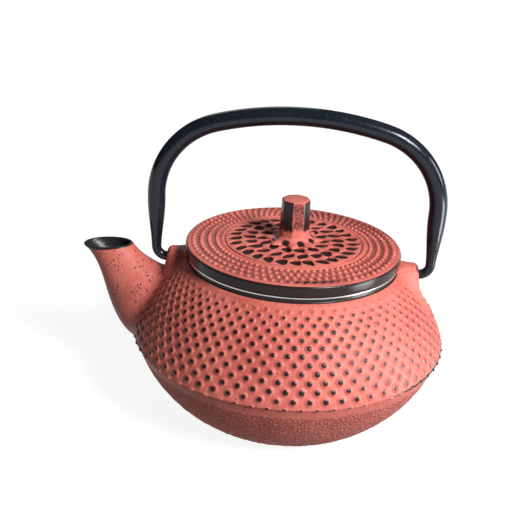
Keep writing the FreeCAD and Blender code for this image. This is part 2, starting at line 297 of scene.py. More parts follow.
mixPlugs = {"FLOAT": (2, 3, 0), "RGBA": (6, 7, 2)}  # a Mix node's first, second and result


def mixNode(tree, kind, share, first, second):
    made = addNode(tree, "ShaderNodeMix", data_type=kind)
    firstPlug, secondPlug, result = mixPlugs[kind]
    for plug, value in ((0, share), (firstPlug, first), (secondPlug, second)):
        feed(tree, made.inputs[plug], value)
    return made.outputs[result]


def mixColour(tree, share, first, second):
    return mixNode(tree, "RGBA", share, first, second)


def noiseNode(tree, vector, scale, detail, roughness, output="Fac"):
    made = addNode(tree, "ShaderNodeTexNoise")
    for label, value in (("Vector", vector), ("Scale", scale), ("Detail", detail), ("Roughness", roughness)):
        feed(tree, made.inputs[label], value)
    return made.outputs[output]


def cellNode(tree, vector, scale, feature):
    made = addNode(tree, "ShaderNodeTexVoronoi", feature=feature)
    feed(tree, made.inputs["Vector"], vector)
    feed(tree, made.inputs["Scale"], scale)
    return made.outputs["Distance"]


# surface effects that the paints share; a noise is given as scale per metre, detail and roughness

grainLook = {
    "warp": (900.0, 2.0, 0.5), "warpReach": 0.0009, "pebbles": 1150.0, "pebbleEdge": 0.28,
    "grit": 1900.0, "gritDetail": 4.0, "gritRoughness": 0.6, "gritHeight": 0.5,
    "seams": (0.02, 0.2), "gritRange": (0.38, 0.58), "leastSeam": 0.25,
}


def makeCastGrain():  # sand-cast skin: small pebbles with dark seams, and fine grit
    tree, source, sink = newGroup("castGrain", {"Scale": 1.0}, ("Height", "Hollows"))
    look, place, scale = grainLook, source.outputs["Vector"], source.outputs["Scale"]
    bent = addNode(tree, "ShaderNodeVectorMath", operation="MULTIPLY_ADD")
    bent.inputs[1].default_value = (look["warpReach"],) * 3
    wire(tree, noiseNode(tree, place, *look["warp"], output="Color"), bent.inputs[0])
    wire(tree, place, bent.inputs[2])
    pebbleScale = times(tree, scale, look["pebbles"])
    gap = cellNode(tree, bent.outputs["Vector"], pebbleScale, "DISTANCE_TO_EDGE")
    gritScale = times(tree, scale, look["grit"])
    grit = noiseNode(tree, place, gritScale, look["gritDetail"], look["gritRoughness"])
    pebble = rangeNode(tree, gap, 0.0, look["pebbleEdge"])
    wire(tree, plus(tree, pebble, times(tree, grit, look["gritHeight"])), sink.inputs["Height"])
    seams = rangeNode(tree, gap, *look["seams"], 1.0, 0.0)
    broken = rangeNode(tree, grit, *look["gritRange"], look["leastSeam"], 1.0)
    wire(tree, times(tree, seams, broken), sink.inputs["Hollows"])
    return tree


edgeLook = {"patches": (700.0, 4.0, 0.6), "border": (0.25, 0.75)}


def makeInkEdge():  # ragged border where black enamel shows through or stops
    tree, source, sink = newGroup("inkEdge", {"Ink": 0.0, "Breakup": 0.3}, ("Mask",))
    patch = noiseNode(tree, source.outputs["Vector"], *edgeLook["patches"])
    swing = times(tree, mathNode(tree, "SUBTRACT", patch, 0.5), source.outputs["Breakup"])
    level = plus(tree, source.outputs["Ink"], swing)
    wire(tree, rangeNode(tree, level, *edgeLook["border"]), sink.inputs["Mask"])
    return tree


driftLook = {
    "broad": (45.0, 3.0, 0.5), "broadShare": 0.6, "close": (420.0, 3.0, 0.6), "closeShare": 0.4,
    "toneRange": (0.3, 0.7), "pits": 560.0, "pitEdge": (0.2, 0.3),
    "chance": (130.0, 2.0, 0.5), "chanceRange": (0.43, 0.54),
}


def makeToneDrift():  # slow changes of tone, and a speckle of small dark pits
    tree, source, sink = newGroup("toneDrift", {"Pits": 0.5}, ("Tone", "Pit"))
    look, place = driftLook, source.outputs["Vector"]
    broad = times(tree, noiseNode(tree, place, *look["broad"]), look["broadShare"])
    close = times(tree, noiseNode(tree, place, *look["close"]), look["closeShare"])
    wire(tree, rangeNode(tree, plus(tree, broad, close), *look["toneRange"]), sink.inputs["Tone"])
    spots = rangeNode(tree, cellNode(tree, place, look["pits"], "F1"), *look["pitEdge"], 1.0, 0.0)
    few = rangeNode(tree, noiseNode(tree, place, *look["chance"]), *look["chanceRange"])
    wire(tree, times(tree, times(tree, spots, few), source.outputs["Pits"]), sink.inputs["Pit"])
    return tree


castGrain = makeCastGrain()
inkEdge = makeInkEdge()
toneDrift = makeToneDrift()


# paints and metals; bump is strength and metres, gloss is the range of roughness

def newMaterial(name):
    material = bpy.data.materials.new(name)
    material.use_nodes = True
    tree = material.node_tree
    shader = tree.nodes["Principled BSDF"]
    place = addNode(tree, "ShaderNodeTexCoord").outputs["Object"]
    return material, tree, shader, place


def addBump(tree, shader, height, strength, distance):
    bump = addNode(tree, "ShaderNodeBump")
    for label, value in (("Height", height), ("Strength", strength), ("Distance", distance)):
        feed(tree, bump.inputs[label], value)
    wire(tree, bump.outputs["Normal"], shader.inputs["Normal"])


coralPaint = {
    "light": (0.74, 0.2, 0.16, 1), "deep": (0.56, 0.12, 0.092, 1),
    "rust": (0.105, 0.034, 0.026, 1), "black": (0.024, 0.0145, 0.014, 1),
    "seamShare": 0.7, "pitShare": 0.9, "dull": 0.44, "dullSwing": 0.1, "gritDull": 0.66,
    "plainBump": 0.1, "gritBump": 0.85, "pitDepth": 0.5, "inkBump": 0.25, "bump": (0.55, 0.0006),
}


def makeCoral(name, shine, breakup, grainScale, inkGloss):
    material, tree, shader, place = newMaterial(name)
    paint = coralPaint
    ink, grit, speck = (addNode(tree, "ShaderNodeAttribute", attribute_name=mark).outputs["Fac"]
                        for mark in ("ink", "grit", "speck"))
    shader.inputs["Specular IOR Level"].default_value = shine
    drift = placeGroup(tree, toneDrift, Vector=place, Pits=speck)
    grain = placeGroup(tree, castGrain, Vector=place, Scale=grainScale)
    mask = placeGroup(tree, inkEdge, Vector=place, Ink=ink, Breakup=breakup)["Mask"]
    colour = mixColour(tree, drift["Tone"], paint["deep"], paint["light"])
    seams = times(tree, times(tree, grit, grain["Hollows"]), paint["seamShare"])
    colour = mixColour(tree, seams, colour, paint["rust"])
    colour = mixColour(tree, times(tree, drift["Pit"], paint["pitShare"]), colour, paint["rust"])
    wire(tree, mixColour(tree, mask, colour, paint["black"]), shader.inputs["Base Color"])
    dull = plus(tree, times(tree, drift["Tone"], paint["dullSwing"]), paint["dull"])
    gloss = mixNode(tree, "FLOAT", mask, dull, inkGloss)
    matt = times(tree, grit, paint["gritDull"])  # the sand-cast skin and the lattice floor stay dull
    wire(tree, mathNode(tree, "MAXIMUM", gloss, matt), shader.inputs["Roughness"])
    rise = plus(tree, times(tree, grit, paint["gritBump"]), paint["plainBump"])
    height = times(tree, grain["Height"], rise)
    height = mathNode(tree, "SUBTRACT", height, times(tree, drift["Pit"], paint["pitDepth"]))
    height = times(tree, height, rangeNode(tree, mask, 0.0, 1.0, 1.0, paint["inkBump"]))
    addBump(tree, shader, height, *paint["bump"])
    return material


blackPaint = {
    "deep": (0.011, 0.011, 0.013, 1), "light": (0.026, 0.025, 0.028, 1), "grainScale": 0.9,
    "gloss": (0.2, 0.34), "bump": (0.12, 0.0004),
}


def makeBlack(name):  # plain black enamel inside the pot and under the lid
    material, tree, shader, place = newMaterial(name)
    paint = blackPaint
    tone = placeGroup(tree, toneDrift, Vector=place)["Tone"]
    grain = placeGroup(tree, castGrain, Vector=place, Scale=paint["grainScale"])
    wire(tree, mixColour(tree, tone, paint["deep"], paint["light"]), shader.inputs["Base Color"])
    wire(tree, rangeNode(tree, tone, 0.0, 1.0, *paint["gloss"]), shader.inputs["Roughness"])
    addBump(tree, shader, grain["Height"], *paint["bump"])
    return material


bailPaint = {
    "deep": (0.006, 0.0095, 0.016, 1), "light": (0.012, 0.0165, 0.026, 1), "spot": (0.06, 0.065, 0.075, 1),
    "spots": 0.21, "gloss": (0.12, 0.19), "shine": 0.3, "peel": (1100.0, 2.0, 0.5), "bump": (0.1, 0.0003),
}


def makeBailEnamel(name):
    material, tree, shader, place = newMaterial(name)
    paint = bailPaint
    drift = placeGroup(tree, toneDrift, Vector=place, Pits=paint["spots"])
    colour = mixColour(tree, drift["Tone"], paint["deep"], paint["light"])
    wire(tree, mixColour(tree, drift["Pit"], colour, paint["spot"]), shader.inputs["Base Color"])
    wire(tree, rangeNode(tree, drift["Tone"], 0.0, 1.0, *paint["gloss"]), shader.inputs["Roughness"])
    shader.inputs["Specular IOR Level"].default_value = paint["shine"]
    addBump(tree, shader, noiseNode(tree, place, *paint["peel"]), *paint["bump"])
    return material


steelLook = {
    "low": (0.5, 0.5, 0.5, 1), "high": (0.72, 0.72, 0.71, 1), "spot": (0.2, 0.18, 0.16, 1), "spots": 0.075,
    "brush": (900.0, 4.0, 0.6), "brushRange": (0.2, 0.8), "gloss": (0.2, 0.36), "bump": (0.08, 0.0002),
}


def makeSteel(name, stretch):  # steel with brush marks, drawn out by the stretch
    material, tree, shader, place = newMaterial(name)
    look = steelLook
    shader.inputs["Metallic"].default_value = 1.0
    mapping = addNode(tree, "ShaderNodeMapping")
    feed(tree, mapping.inputs["Scale"], stretch)
    wire(tree, place, mapping.inputs["Vector"])
    brush = noiseNode(tree, mapping.outputs["Vector"], *look["brush"])
    drift = placeGroup(tree, toneDrift, Vector=place, Pits=look["spots"])
    colour = mixColour(tree, brush, look["low"], look["high"])
    wire(tree, mixColour(tree, drift["Pit"], colour, look["spot"]), shader.inputs["Base Color"])
    wire(tree, rangeNode(tree, brush, *look["brushRange"], *look["gloss"]), shader.inputs["Roughness"])
    addBump(tree, shader, brush, *look["bump"])
    return material


potCoral = makeCoral("potCoral", shine=0.24, breakup=0.35, grainScale=0.52, inkGloss=0.27)
lidCoral = makeCoral("lidCoral", shine=0.2, breakup=0.3, grainScale=1.3, inkGloss=0.18)
knobCoral = makeCoral("knobCoral", shine=0.24, breakup=0.95, grainScale=1.3, inkGloss=0.18)
innerBlack = makeBlack("innerBlack")
bailEnamel = makeBailEnamel("bailEnamel")
sheetSteel = makeSteel("sheetSteel", stretch=(0.2, 0.2, 6.0))
wireSteel = makeSteel("wireSteel", stretch=(1.0, 1.0, 1.0))
print("materials made")


def coatPiece(piece, paint, isBlack):  # paint all over, and black enamel on the faces that pass the test
    piece.data.materials.append(paint)
    piece.data.materials.append(innerBlack)
    for face in piece.data.polygons:
        face.material_index = int(isBlack(face))


# pot: bowl, shoulder and mouth; lengths in mm, inks from 0 to 1

bowl = {
    "foot": 39.5, "recess": 27.0, "recessDepth": 1.0, "belly": 66.0, "bellyHeight": 34.0, "lip": 0.7,
    "bowlCurve": 57.3, "shoulderCurve": 82.0, "neck": 44.4, "neckHeight": 66.1, "rim": 43.6,
    "rimHeight": 68.0, "mouth": 38.6, "land": 65.2, "wall": 4.0,
    "columns": 272, "lowRows": 40, "highRows": 30, "innerRows": 14,
    "smoothBand": 5.0, "gritFade": (1.2, -0.8), "speck": 0.35, "lumpSize": 2.1, "lumpHeight": 0.6,
    "lumpDetail": 2, "lumpLow": 0.2, "lumpFade": 2.0, "skinDepth": 0.3, "lipBand": 0.9, "lipInk": 0.3,
    # on the lip these turns mark wear to black only
    "wornInk": 0.75, "wearAndSheenTurn": 0.5, "wearAndSheenSpread": 0.6, "smoothAngle": 40,
}
shoulderEnds = (bowl["belly"], bowl["bellyHeight"]), (bowl["neck"], bowl["neckHeight"])
lowArc = arcRun((bowl["foot"], 0), (bowl["belly"] - bowl["lip"], bowl["bellyHeight"] - bowl["lip"]),
                bowl["bowlCurve"], bowl["lowRows"])
highArc = arcRun(*shoulderEnds, bowl["shoulderCurve"], bowl["highRows"])
outerLine = [(z, r) for r, z in lowArc + highArc]
bandEdge = bowl["bellyHeight"] - bowl["smoothBand"]  # height where the smooth band meets the sand-cast skin


def outerRadius(z):  # radius of the pot's outside at a height
    return readLine(outerLine, z)


def outerNormal(z, step=0.4):  # outward normal of the pot's outside as (radial, up)
    slope = (outerRadius(z + step) - outerRadius(z - step)) / (2 * step)
    size = math.hypot(1, slope)
    return 1 / size, -slope / size


def bowlSection():  # from the middle of the foot, up the outside, over the rim and down the inside
    belly, height, wall, mouth = (bowl[key] for key in ("belly", "bellyHeight", "wall", "mouth"))
    edge, deep, rim, top = (bowl[key] for key in ("recess", "recessDepth", "rim", "rimHeight"))
    foot = [(0, deep), (edge - 14, deep), (edge - 1, deep), (edge, deep - 0.05), (edge + 0.5, deep / 2),
            (edge + 1.1, 0.05), (edge + 2, 0), (edge + 7, 0), (bowl["foot"] - 0.9, 0)]
    lip = [(belly - 0.78, height - 0.5), (belly - 0.3, height - 0.5), (belly - 0.04, height - 0.28)]
    neck = [(rim + 0.4, top - 1.78), (rim + 0.12, top - 1.6), (rim, top - 1.3), (rim, top - 0.8),
            (rim - 0.03, top - 0.38), (rim - 0.15, top - 0.13), (rim - 0.4, top - 0.01), (rim - 1, top),
            (mouth + 1, top), (mouth + 0.4, top - 0.05), (mouth + 0.1, top - 0.2), (mouth, top - 0.5),
            (mouth, top - 1.6)]
    innerHigh = arcRun((belly - wall, height), (mouth, bowl["land"]), bowl["shoulderCurve"] - wall,
                       bowl["innerRows"])
    innerLow = arcRun((bowl["foot"], deep + wall), (belly - wall, height), bowl["bowlCurve"] - wall,
                      bowl["innerRows"])
    floor = [(r, deep + wall) for r in (30, 18, 0)]
    return foot + lowArc + lip + highArc + neck + innerHigh[::-1] + innerLow[::-1][1:] + floor


def makeBowl():
    piece = turnPiece("potCasting", bowlSection(), bowl["columns"])
    # sand-cast lumps under the smooth band
    rough = piece.vertex_groups.new(name="sandCast")
    low, fade = bowl["lumpLow"], bowl["lumpFade"]
    for point in piece.data.vertices:
        r, z = math.hypot(point.co.x, point.co.y) / mm, point.co.z / mm
        if low < z < bandEdge and abs(r - outerRadius(z)) < bowl["skinDepth"]:
            rough.add([point.index], ease(bandEdge, bandEdge - fade, z) * ease(low, fade, z), "REPLACE")
    lumps = bpy.data.textures.new("sandLumps", "CLOUDS")
    lumps.noise_scale = bowl["lumpSize"] * mm
    lumps.noise_depth = bowl["lumpDetail"]
    useModifier(piece, "DISPLACE", texture=lumps, texture_coords="LOCAL", vertex_group="sandCast",
                strength=bowl["lumpHeight"] * mm, mid_level=0.5)
    return piece


def isInside(face):  # on the inside of the pot's wall
    middle, half = face.center / mm, bowl["wall"] / 2
    limit = outerRadius(middle.z) - half
    if middle.z > bowl["land"] - 0.7:
        limit = min(limit, bowl["mouth"] + 0.6)
    return middle.z > bowl["recessDepth"] + half and math.hypot(middle.x, middle.y) < limit


def wornLip(turn):  # how far the lip is worn to black at a turn round the pot, most at the back end
    return ease(bowl["wearAndSheenTurn"] + bowl["wearAndSheenSpread"], bowl["wearAndSheenTurn"], abs(turnBetween(turn, 0)))


def inkOfBowl(point):  # black rim, and a black worn lip that is broadest at the back end
    r = math.hypot(point.x, point.y)
    if point.z > bowl["neckHeight"] + 0.08 and r < bowl["neck"] - 0.2:
        return 1.0
    if abs(point.z - bowl["bellyHeight"]) < bowl["lipBand"] and r > bowl["belly"] - 1:
        return bowl["lipInk"] + bowl["wornInk"] * wornLip(math.atan2(point.y, point.x))
    return 0.0


def gritOfBowl(point):
    over, under = bowl["gritFade"]
    return ease(bandEdge + over, bandEdge + under, point.z)


pot = makeBowl()
paintPoints(pot, "ink", inkOfBowl)
paintPoints(pot, "grit", gritOfBowl)
paintPoints(pot, "speck", lambda point: bowl["speck"])
coatPiece(pot, potCoral, isInside)
print("bowl:", len(pot.data.polygons), "faces")


# spout: oval rings from inside the bowl to the lip and back down the bore

spout = {  # stations are reach, rise, tilt, half length and half width; shares run from 0 at the root to 1
    "stations": [(-16.0, 3.0, 60.0, 15.0, 11.5), (-4.5, 9.0, 53.0, 16.8, 12.6),
                 (3.6, 20.0, 34.0, 11.6, 9.8), (12.1, 33.5, 2.7, 10.5, 6.9)],
    "wall": 2.4, "lipWall": 1.3, "lipDrop": 0.6, "rootSweep": 3.4,
    "sides": 64, "outerRings": 56, "lipSteps": 8, "innerRings": 22, "throatRings": 12,
    "start": 0.1, "throatEnd": 0.62, "dropFrom": 0.93, "boreDropFrom": 0.9, "thinFrom": 0.75,
    "grit": 0.08, "speck": 1.0, "lipInk": 0.95, "inkStart": (0.4, 4.0), "inkEnd": (1.6, 2.6),
    # painted shade: darkens the lower outer side of the spout
    "spoutShade": 0.36, "spoutShadeTip": 0.5, "spoutShadeDown": 0.5,
}


def stationKnots():
    knots, last = [0.0], None
    for reach, rise, *_ in spout["stations"]:
        if last:
            knots.append(knots[-1] + math.hypot(reach - last[0], rise - last[1]))
        last = (reach, rise)
    return [knot / knots[-1] for knot in knots]


spoutKnots = stationKnots()


def spoutAt(share):  # reach, rise, tilt, half length and half width on a smooth run through the stations
    found = [0.0] * 5
    for i, station in enumerate(spout["stations"]):
        weight = 1.0
        for j, knot in enumerate(spoutKnots):
            if j != i:
                weight *= (share - knot) / (spoutKnots[i] - knot)
        found = [old + weight * new for old, new in zip(found, station)]
    return found


def emptyPiece(name):
    piece = startVertex(name)
    bpy.ops.mesh.delete(type="VERT")
    return piece


def addRing(piece, sides, placeAt):  # a circle whose points are moved to their places, in mm
    bpy.ops.mesh.select_all(action="DESELECT")
    bpy.ops.mesh.primitive_circle_add(vertices=sides, radius=mm)
    work = bmesh.from_edit_mesh(piece.data)
    work.verts.ensure_lookup_table()
    for i, point in enumerate(work.verts[-sides:]):
        point.co = placeAt(fullTurn * i / sides) * mm
    bmesh.update_edit_mesh(piece.data)


def addOval(piece, share, trim, lift):
    reach, rise, tilt, length, width = spoutAt(share)
    tilt = math.radians(tilt)
    along = Vector((math.cos(tilt), 0, math.sin(tilt)))
    out = Vector((-math.sin(tilt), 0, math.cos(tilt)))
    middle = Vector((-(bowl["belly"] + reach), 0, bowl["bellyHeight"] + rise)) + out * lift
    addRing(piece, spout["sides"], lambda turn: middle + along * (length - trim) * math.cos(turn)
            + Vector((0, (width - trim) * math.sin(turn), 0)))
    return middle


def pickRings(piece, first, count, sides):  # selects whole rings by their order in the mesh
    bpy.ops.mesh.select_mode(type="VERT")
    bpy.ops.mesh.select_all(action="DESELECT")
    work = bmesh.from_edit_mesh(piece.data)
    work.verts.ensure_lookup_table()
    for point in work.verts[first * sides:(first + count) * sides]:
        point.select_set(True)
    work.select_flush(True)
    bmesh.update_edit_mesh(piece.data)


def bridgeRings(piece, count, sides, fillEnds):  # skins the rings in their order and closes the piece
    for ring in range(count - 1):
        pickRings(piece, ring, 2, sides)
        bpy.ops.mesh.select_mode(type="EDGE")
        bpy.ops.mesh.bridge_edge_loops()
    if fillEnds:
        for ring in (0, count - 1):
            pickRings(piece, ring, 1, sides)
            bpy.ops.mesh.edge_face_add()
    faceOutwards()
    closePiece()


fillet = {"spread": 0.8, "earRamp": 3.0}


def sweepOnto(piece, middles, sides, reach):  # spreads the foot of a piece onto the bowl with a soft fillet
    for index, point in enumerate(piece.data.vertices):
        if index // sides >= len(middles):
            break
        place = point.co / mm
        r = math.hypot(place.x, place.y)
        normR, normZ = outerNormal(place.z)
        gap = (r - outerRadius(place.z)) * normR
        if gap >= reach:
            continue
        gap = max(gap, 0.0)
        shift = reach - math.sqrt(reach ** 2 - (reach - gap) ** 2)
        normal = Vector((place.x / r * normR, place.y / r * normR, normZ))
        away = place - middles[index // sides]
        away -= normal * away.dot(normal)
        if len(middles) == 1:  # an ear spreads sideways and down only
            away.z = min(away.z, 0)
            shift *= ease(0.0, fillet["earRamp"], abs(place.y) + max(0.0, middles[0].z - place.z))
        point.co += away.normalized() * shift * fillet["spread"] * mm


def makeSpout():
    piece = emptyPiece("spoutCasting")
    outerRings, lipSteps, innerRings, sides = (
        spout[key] for key in ("outerRings", "lipSteps", "innerRings", "sides"))
    drop, lipWall = spout["lipDrop"], spout["lipWall"]
    middles = []
    for i in range(outerRings):
        share = spout["start"] + (1 - spout["start"]) * i / (outerRings - 1)
        middles.append(addOval(piece, share, 0, -drop * ease(spout["dropFrom"], 1, share)))
    for i in range(1, lipSteps):  # rounded lip
        turn = math.pi * i / lipSteps
        addOval(piece, 1, lipWall / 2 * (1 - math.cos(turn)), drop * (math.sin(turn) - 1))
    for i in range(innerRings):
        share = 1 - i / (innerRings - 1)
        thick = lipWall + (spout["wall"] - lipWall) * ease(1, spout["thinFrom"], share)
        addOval(piece, share, thick, -drop * ease(spout["boreDropFrom"], 1, share))
    bridgeRings(piece, outerRings + lipSteps - 1 + innerRings, sides, fillEnds=False)
    sweepOnto(piece, middles, sides, spout["rootSweep"])
    paintPoints(piece, "grit", lambda point: spout["grit"])
    paintPoints(piece, "speck", lambda point: spout["speck"])
    paintRings(piece, sides, inkOfSpout)
    boreStart = (outerRings - 1 + lipSteps) * sides
    coatPiece(piece, potCoral, lambda face: min(face.vertices) >= boreStart)
    return piece


def inkOfSpout(ring, step):  # black lip, drawn further down the outside at the tip, and painted shade on the lower outer side below it
    last = spout["outerRings"] - 1
    if ring > last + 2:
        return 1.0
    tip = (1 - math.cos(fullTurn * step / spout["sides"])) / 2
    # painted shade, strongest on the lower outer side and towards the root
    spoutShade = spout["spoutShade"] * ease(0.0, spout["spoutShadeTip"], tip) * ease(last, spout["spoutShadeDown"] * last, ring)
    start = last - spout["inkStart"][0] - spout["inkStart"][1] * tip
    end = last + spout["inkEnd"][0] - spout["inkEnd"][1] * tip
    return max(spoutShade, spout["lipInk"] * ease(start, end, ring))


def makeThroat():  # the core that opens the bowl's wall into the spout
    piece = emptyPiece("throatCore")
    count = spout["throatRings"]
    for i in range(count):
        addOval(piece, spout["throatEnd"] * i / (count - 1), spout["wall"], 0)
    bridgeRings(piece, count, spout["sides"], fillEnds=True)
    return piece


cutAway(pot, makeThroat())
spoutCasting = makeSpout()
print("spout:", len(spoutCasting.data.polygons), "faces")


# ears with the sockets of the bail

ear = {
    "pivot": 63.2, "face": 52.8, "root": 41.1, "radius": 4.7, "footHalf": 6.5, "footDepth": 18.0,
    "stations": 16, "round": 2.4, "roundSteps": 7, "hole": 2.1, "holeDepth": 8.0, "sides": 96,
    "rootSweep": 6.5, "edgeInk": 0.62, "inkUpward": (0.2, 0.8), "speck": 0.5,
}


def earRadius(turn):  # from the pivot line to the outline: round above, wider sides and a buried foot below
    across, upward = math.sin(turn), math.cos(turn)
    if upward >= 0:
        return ear["radius"]
    flare = (ear["footHalf"] - ear["radius"]) / ear["footDepth"]
    side = ear["radius"] / max(abs(across) + flare * upward, 1e-6)
    return min(side, -ear["footDepth"] / upward)


def addEarRing(piece, x, inset, whole=None):
    def placeAt(turn):
        size = whole or earRadius(turn) - inset
        return Vector((x, size * math.sin(turn), ear["pivot"] + size * math.cos(turn)))
    addRing(piece, ear["sides"], placeAt)


def inkOfEar(ring, step):  # black socket, and black showing at the upper edge of the face
    first, last = ear["stations"], ear["stations"] + ear["roundSteps"]
    if ring >= last:
        return 1.0
    upward = math.cos(fullTurn * step / ear["sides"])
    level = ear["edgeInk"] * ease(*ear["inkUpward"], upward)
    return level * ease(first - 1, first + 2, ring) * ease(last, last - 3, ring)


def makeEar():
    piece = emptyPiece("earCasting")
    face, root, hole, sides = (ear[key] for key in ("face", "root", "hole", "sides"))
    stations, roundSteps = ear["stations"], ear["roundSteps"]
    flat = face - ear["round"]
    socket = ((face, hole + 0.1), (face - 0.3, hole), (face - ear["holeDepth"], hole))
    for i in range(stations):
        addEarRing(piece, root + (flat - root) * i / (stations - 1), 0)
    for i in range(1, roundSteps + 1):
        turn = math.pi / 2 * i / roundSteps
        addEarRing(piece, flat + ear["round"] * math.sin(turn), ear["round"] * (1 - math.cos(turn)))
    for x, size in socket:
        addEarRing(piece, x, 0, size)
    bridgeRings(piece, stations + roundSteps + len(socket), sides, fillEnds=True)
    middle = Vector(((face + root) / 2, 0, ear["pivot"] - 2))
    sweepOnto(piece, [middle], (stations + roundSteps) * sides, ear["rootSweep"])
    paintRings(piece, sides, inkOfEar)
    paintPoints(piece, "speck", lambda point: ear["speck"])
    piece.data.materials.append(potCoral)
    return piece


rearEar = makeEar()
frontEar = copyOf(rearEar, Matrix.Diagonal((-1, 1, 1, 1)))
openPiece(frontEar)  # the mirror turned its faces inwards
faceOutwards()
closePiece()
print("ears:", len(rearEar.data.polygons), "faces each")


# hobnails: one cast nail, copied in staggered rows over the shoulder

nails = {  # profile and inkHeights are for a full nail; the turns of the tips that are worn and carry a painted highlight, and of the cut row, are round the pot, in radians
    "columns": 68, "rows": 12, "phase": -0.28, "first": 2.85, "last": 35.9, "lowStep": 1.02, "lowNormal": 0.6,
    "profile": [(2.55, -0.3), (2.12, -0.03), (1.7, 0.15), (1.32, 0.38), (0.98, 0.56), (0.55, 0.68),
                (0.0, 0.72)],
    "sides": 9, "rowSizes": (0.8, 0.95, 1, 1, 1, 1, 1, 1, 1, 1, 0.95, 0.8, 0.55), "leastSize": 0.12,
    "fullRadius": 65.0, "wideShare": 0.3, "tallShare": 0.2, "wobble": 0.07, "sideShift": 0.12, "seed": 11,
    "cutAbove": 0.15, "inkHeights": [(0.16, 0.0), (0.4, 0.36), (0.57, 0.63), (0.68, 0.78)], "inkGain": 1.15,
    # tips paler on the lit right front: partly wear, partly painted highlight
    "wearAndSheenTurn": -0.45, "wearAndSheenSpread": 0.95, "wearAndSheenCore": 0.2, "wearAndSheenShare": 0.24,
    "cutTurn": -1.2, "cutSpread": 1.1, "cutCore": 0.5, "lipInk": 0.95,
}
bareSkin = {  # where nails die out: an oval round the spout's root, and a wedge under each ear
    "spoutReach": 30.0, "spoutHalf": 13.2, "spoutHeight": 43.0, "spoutTall": 16.5, "spoutFade": (1.2, 4.8),
    "earLow": 47.0, "earHalf": 7.6, "earTop": 66.0, "earFlare": 0.12, "earFoot": 51.0, "earFade": 5.5,
}


def shoulderTable(steps=400):
    line = arcRun(*shoulderEnds, bowl["shoulderCurve"], steps)
    run = [0.0]
    for (r0, z0), (r1, z1) in zip(line, line[1:]):
        run.append(run[-1] + math.hypot(r1 - r0, z1 - z0))
    return line, run


shoulderLine, shoulderRun = shoulderTable()


def nearestIndex(values, goal):
    return min(range(len(values)), key=lambda i: abs(values[i] - goal))


def nailRows():  # places along the shoulder, closer together where the shoulder narrows
    inside = [(s, r) for s, (r, z) in zip(shoulderRun, shoulderLine) if nails["first"] <= s <= nails["last"]]
    sums = [0.0]
    for (s0, r0), (s1, r1) in zip(inside, inside[1:]):
        sums.append(sums[-1] + (s1 - s0) / r0)
    goals = [sums[-1] * row / (nails["rows"] - 1) for row in range(nails["rows"])]
    rows = [inside[nearestIndex(sums, goal)][0] for goal in goals]
    return [rows[0] - (rows[1] - rows[0]) * nails["lowStep"]] + rows


def shoulderPoint(run):
    if run < 0:
        r, z = shoulderLine[0]
        return r, z + run
    return shoulderLine[nearestIndex(shoulderRun, run)]


def nailSize(x, y, z, row):  # how far a nail stands out: less beside the spout, the ears and the neck
    bare, size = bareSkin, nails["rowSizes"][row]
    if x < 0 and abs(y) < bare["spoutReach"]:
        level = (z - bare["spoutHeight"]) / bare["spoutTall"]
        half = bare["spoutHalf"] * math.sqrt(max(0.0, 1 - level ** 2))
        near, far = bare["spoutFade"]
        size *= ease(half + near, half + far, abs(y)) if half else 1
    if z > bare["earLow"]:
        half = bare["earHalf"] + (bare["earTop"] - z) * bare["earFlare"]
        size *= ease(half, half + bare["earFade"], math.hypot(y, max(0.0, bare["earFoot"] - z)))
    return size


def inkOfNail(turn, row, size):  # black at the tip, paler on the lit right front as partly wear and partly painted highlight, and black all over where the lip below it is worn
    # painted highlight, partly wear: the tips are less black on the lit right front
    wearAndSheen = ease(nails["wearAndSheenSpread"], nails["wearAndSheenCore"], abs(turnBetween(turn, nails["wearAndSheenTurn"])))
    tip = min(1, size * nails["inkGain"]) * (1 - nails["wearAndSheenShare"] * wearAndSheen)
    if row:
        return tip, 0.0
    cut = ease(nails["cutSpread"], nails["cutCore"], abs(turnBetween(turn, nails["cutTurn"])))
    return tip * cut, nails["lipInk"] * wornLip(turn)


def trimNail(piece):  # the lowest row is cut off at the edge of the band
    openPiece(piece)
    cutAcross(bowl["bellyHeight"] - nails["cutAbove"], use_fill=True, clear_inner=True)
    closePiece()


def makeNails():
    nail = makeStud("nail", nails["profile"], nails["sides"], potCoral)
    inks = [readLine(nails["inkHeights"], point.co.z / mm) for point in nail.data.vertices]
    pick = random.Random(nails["seed"])
    shift = nails["sideShift"]
    copies = []
    for row, run in enumerate(nailRows()):
        r, z = shoulderPoint(run)
        reach = r / nails["fullRadius"]
        normR, normZ = outerNormal(max(z, bowl["bellyHeight"] + nails["lowNormal"]))
        for column in range(nails["columns"]):
            turn = fullTurn * (column + nails["phase"] + 0.5 * ((row + 1) % 2)) / nails["columns"]
            wobble = [1 + pick.uniform(-1, 1) * nails["wobble"] for _ in range(3)]
            x, y = r * math.cos(turn), r * math.sin(turn)
            size = nailSize(x, y, z, row)
            if size < nails["leastSize"]:
                continue
            wide = reach * wobble[0] * (1 + nails["wideShare"] * (size - 1))
            tall = size * wobble[1] * (1 + nails["tallShare"] * (reach - 1))
            up = Vector((math.cos(turn) * normR, math.sin(turn) * normR, normZ))
            side = Vector((-math.sin(turn), math.cos(turn), 0))
            axes = Matrix((side * wide, up.cross(side) * wide, up * tall)).transposed().to_4x4()
            place = Vector((x, y, z)) + side * pick.uniform(-shift, shift)
            twin = copyOf(nail, Matrix.Translation(place * mm) @ axes)
            tip, least = inkOfNail(turn, row, size)
            setMarks(twin, "ink", [max(ink * tip * wobble[2], least) for ink in inks])
            copies.append(twin)
            if row == 0:
                trimNail(twin)
    bpy.data.objects.remove(nail)
    return copies


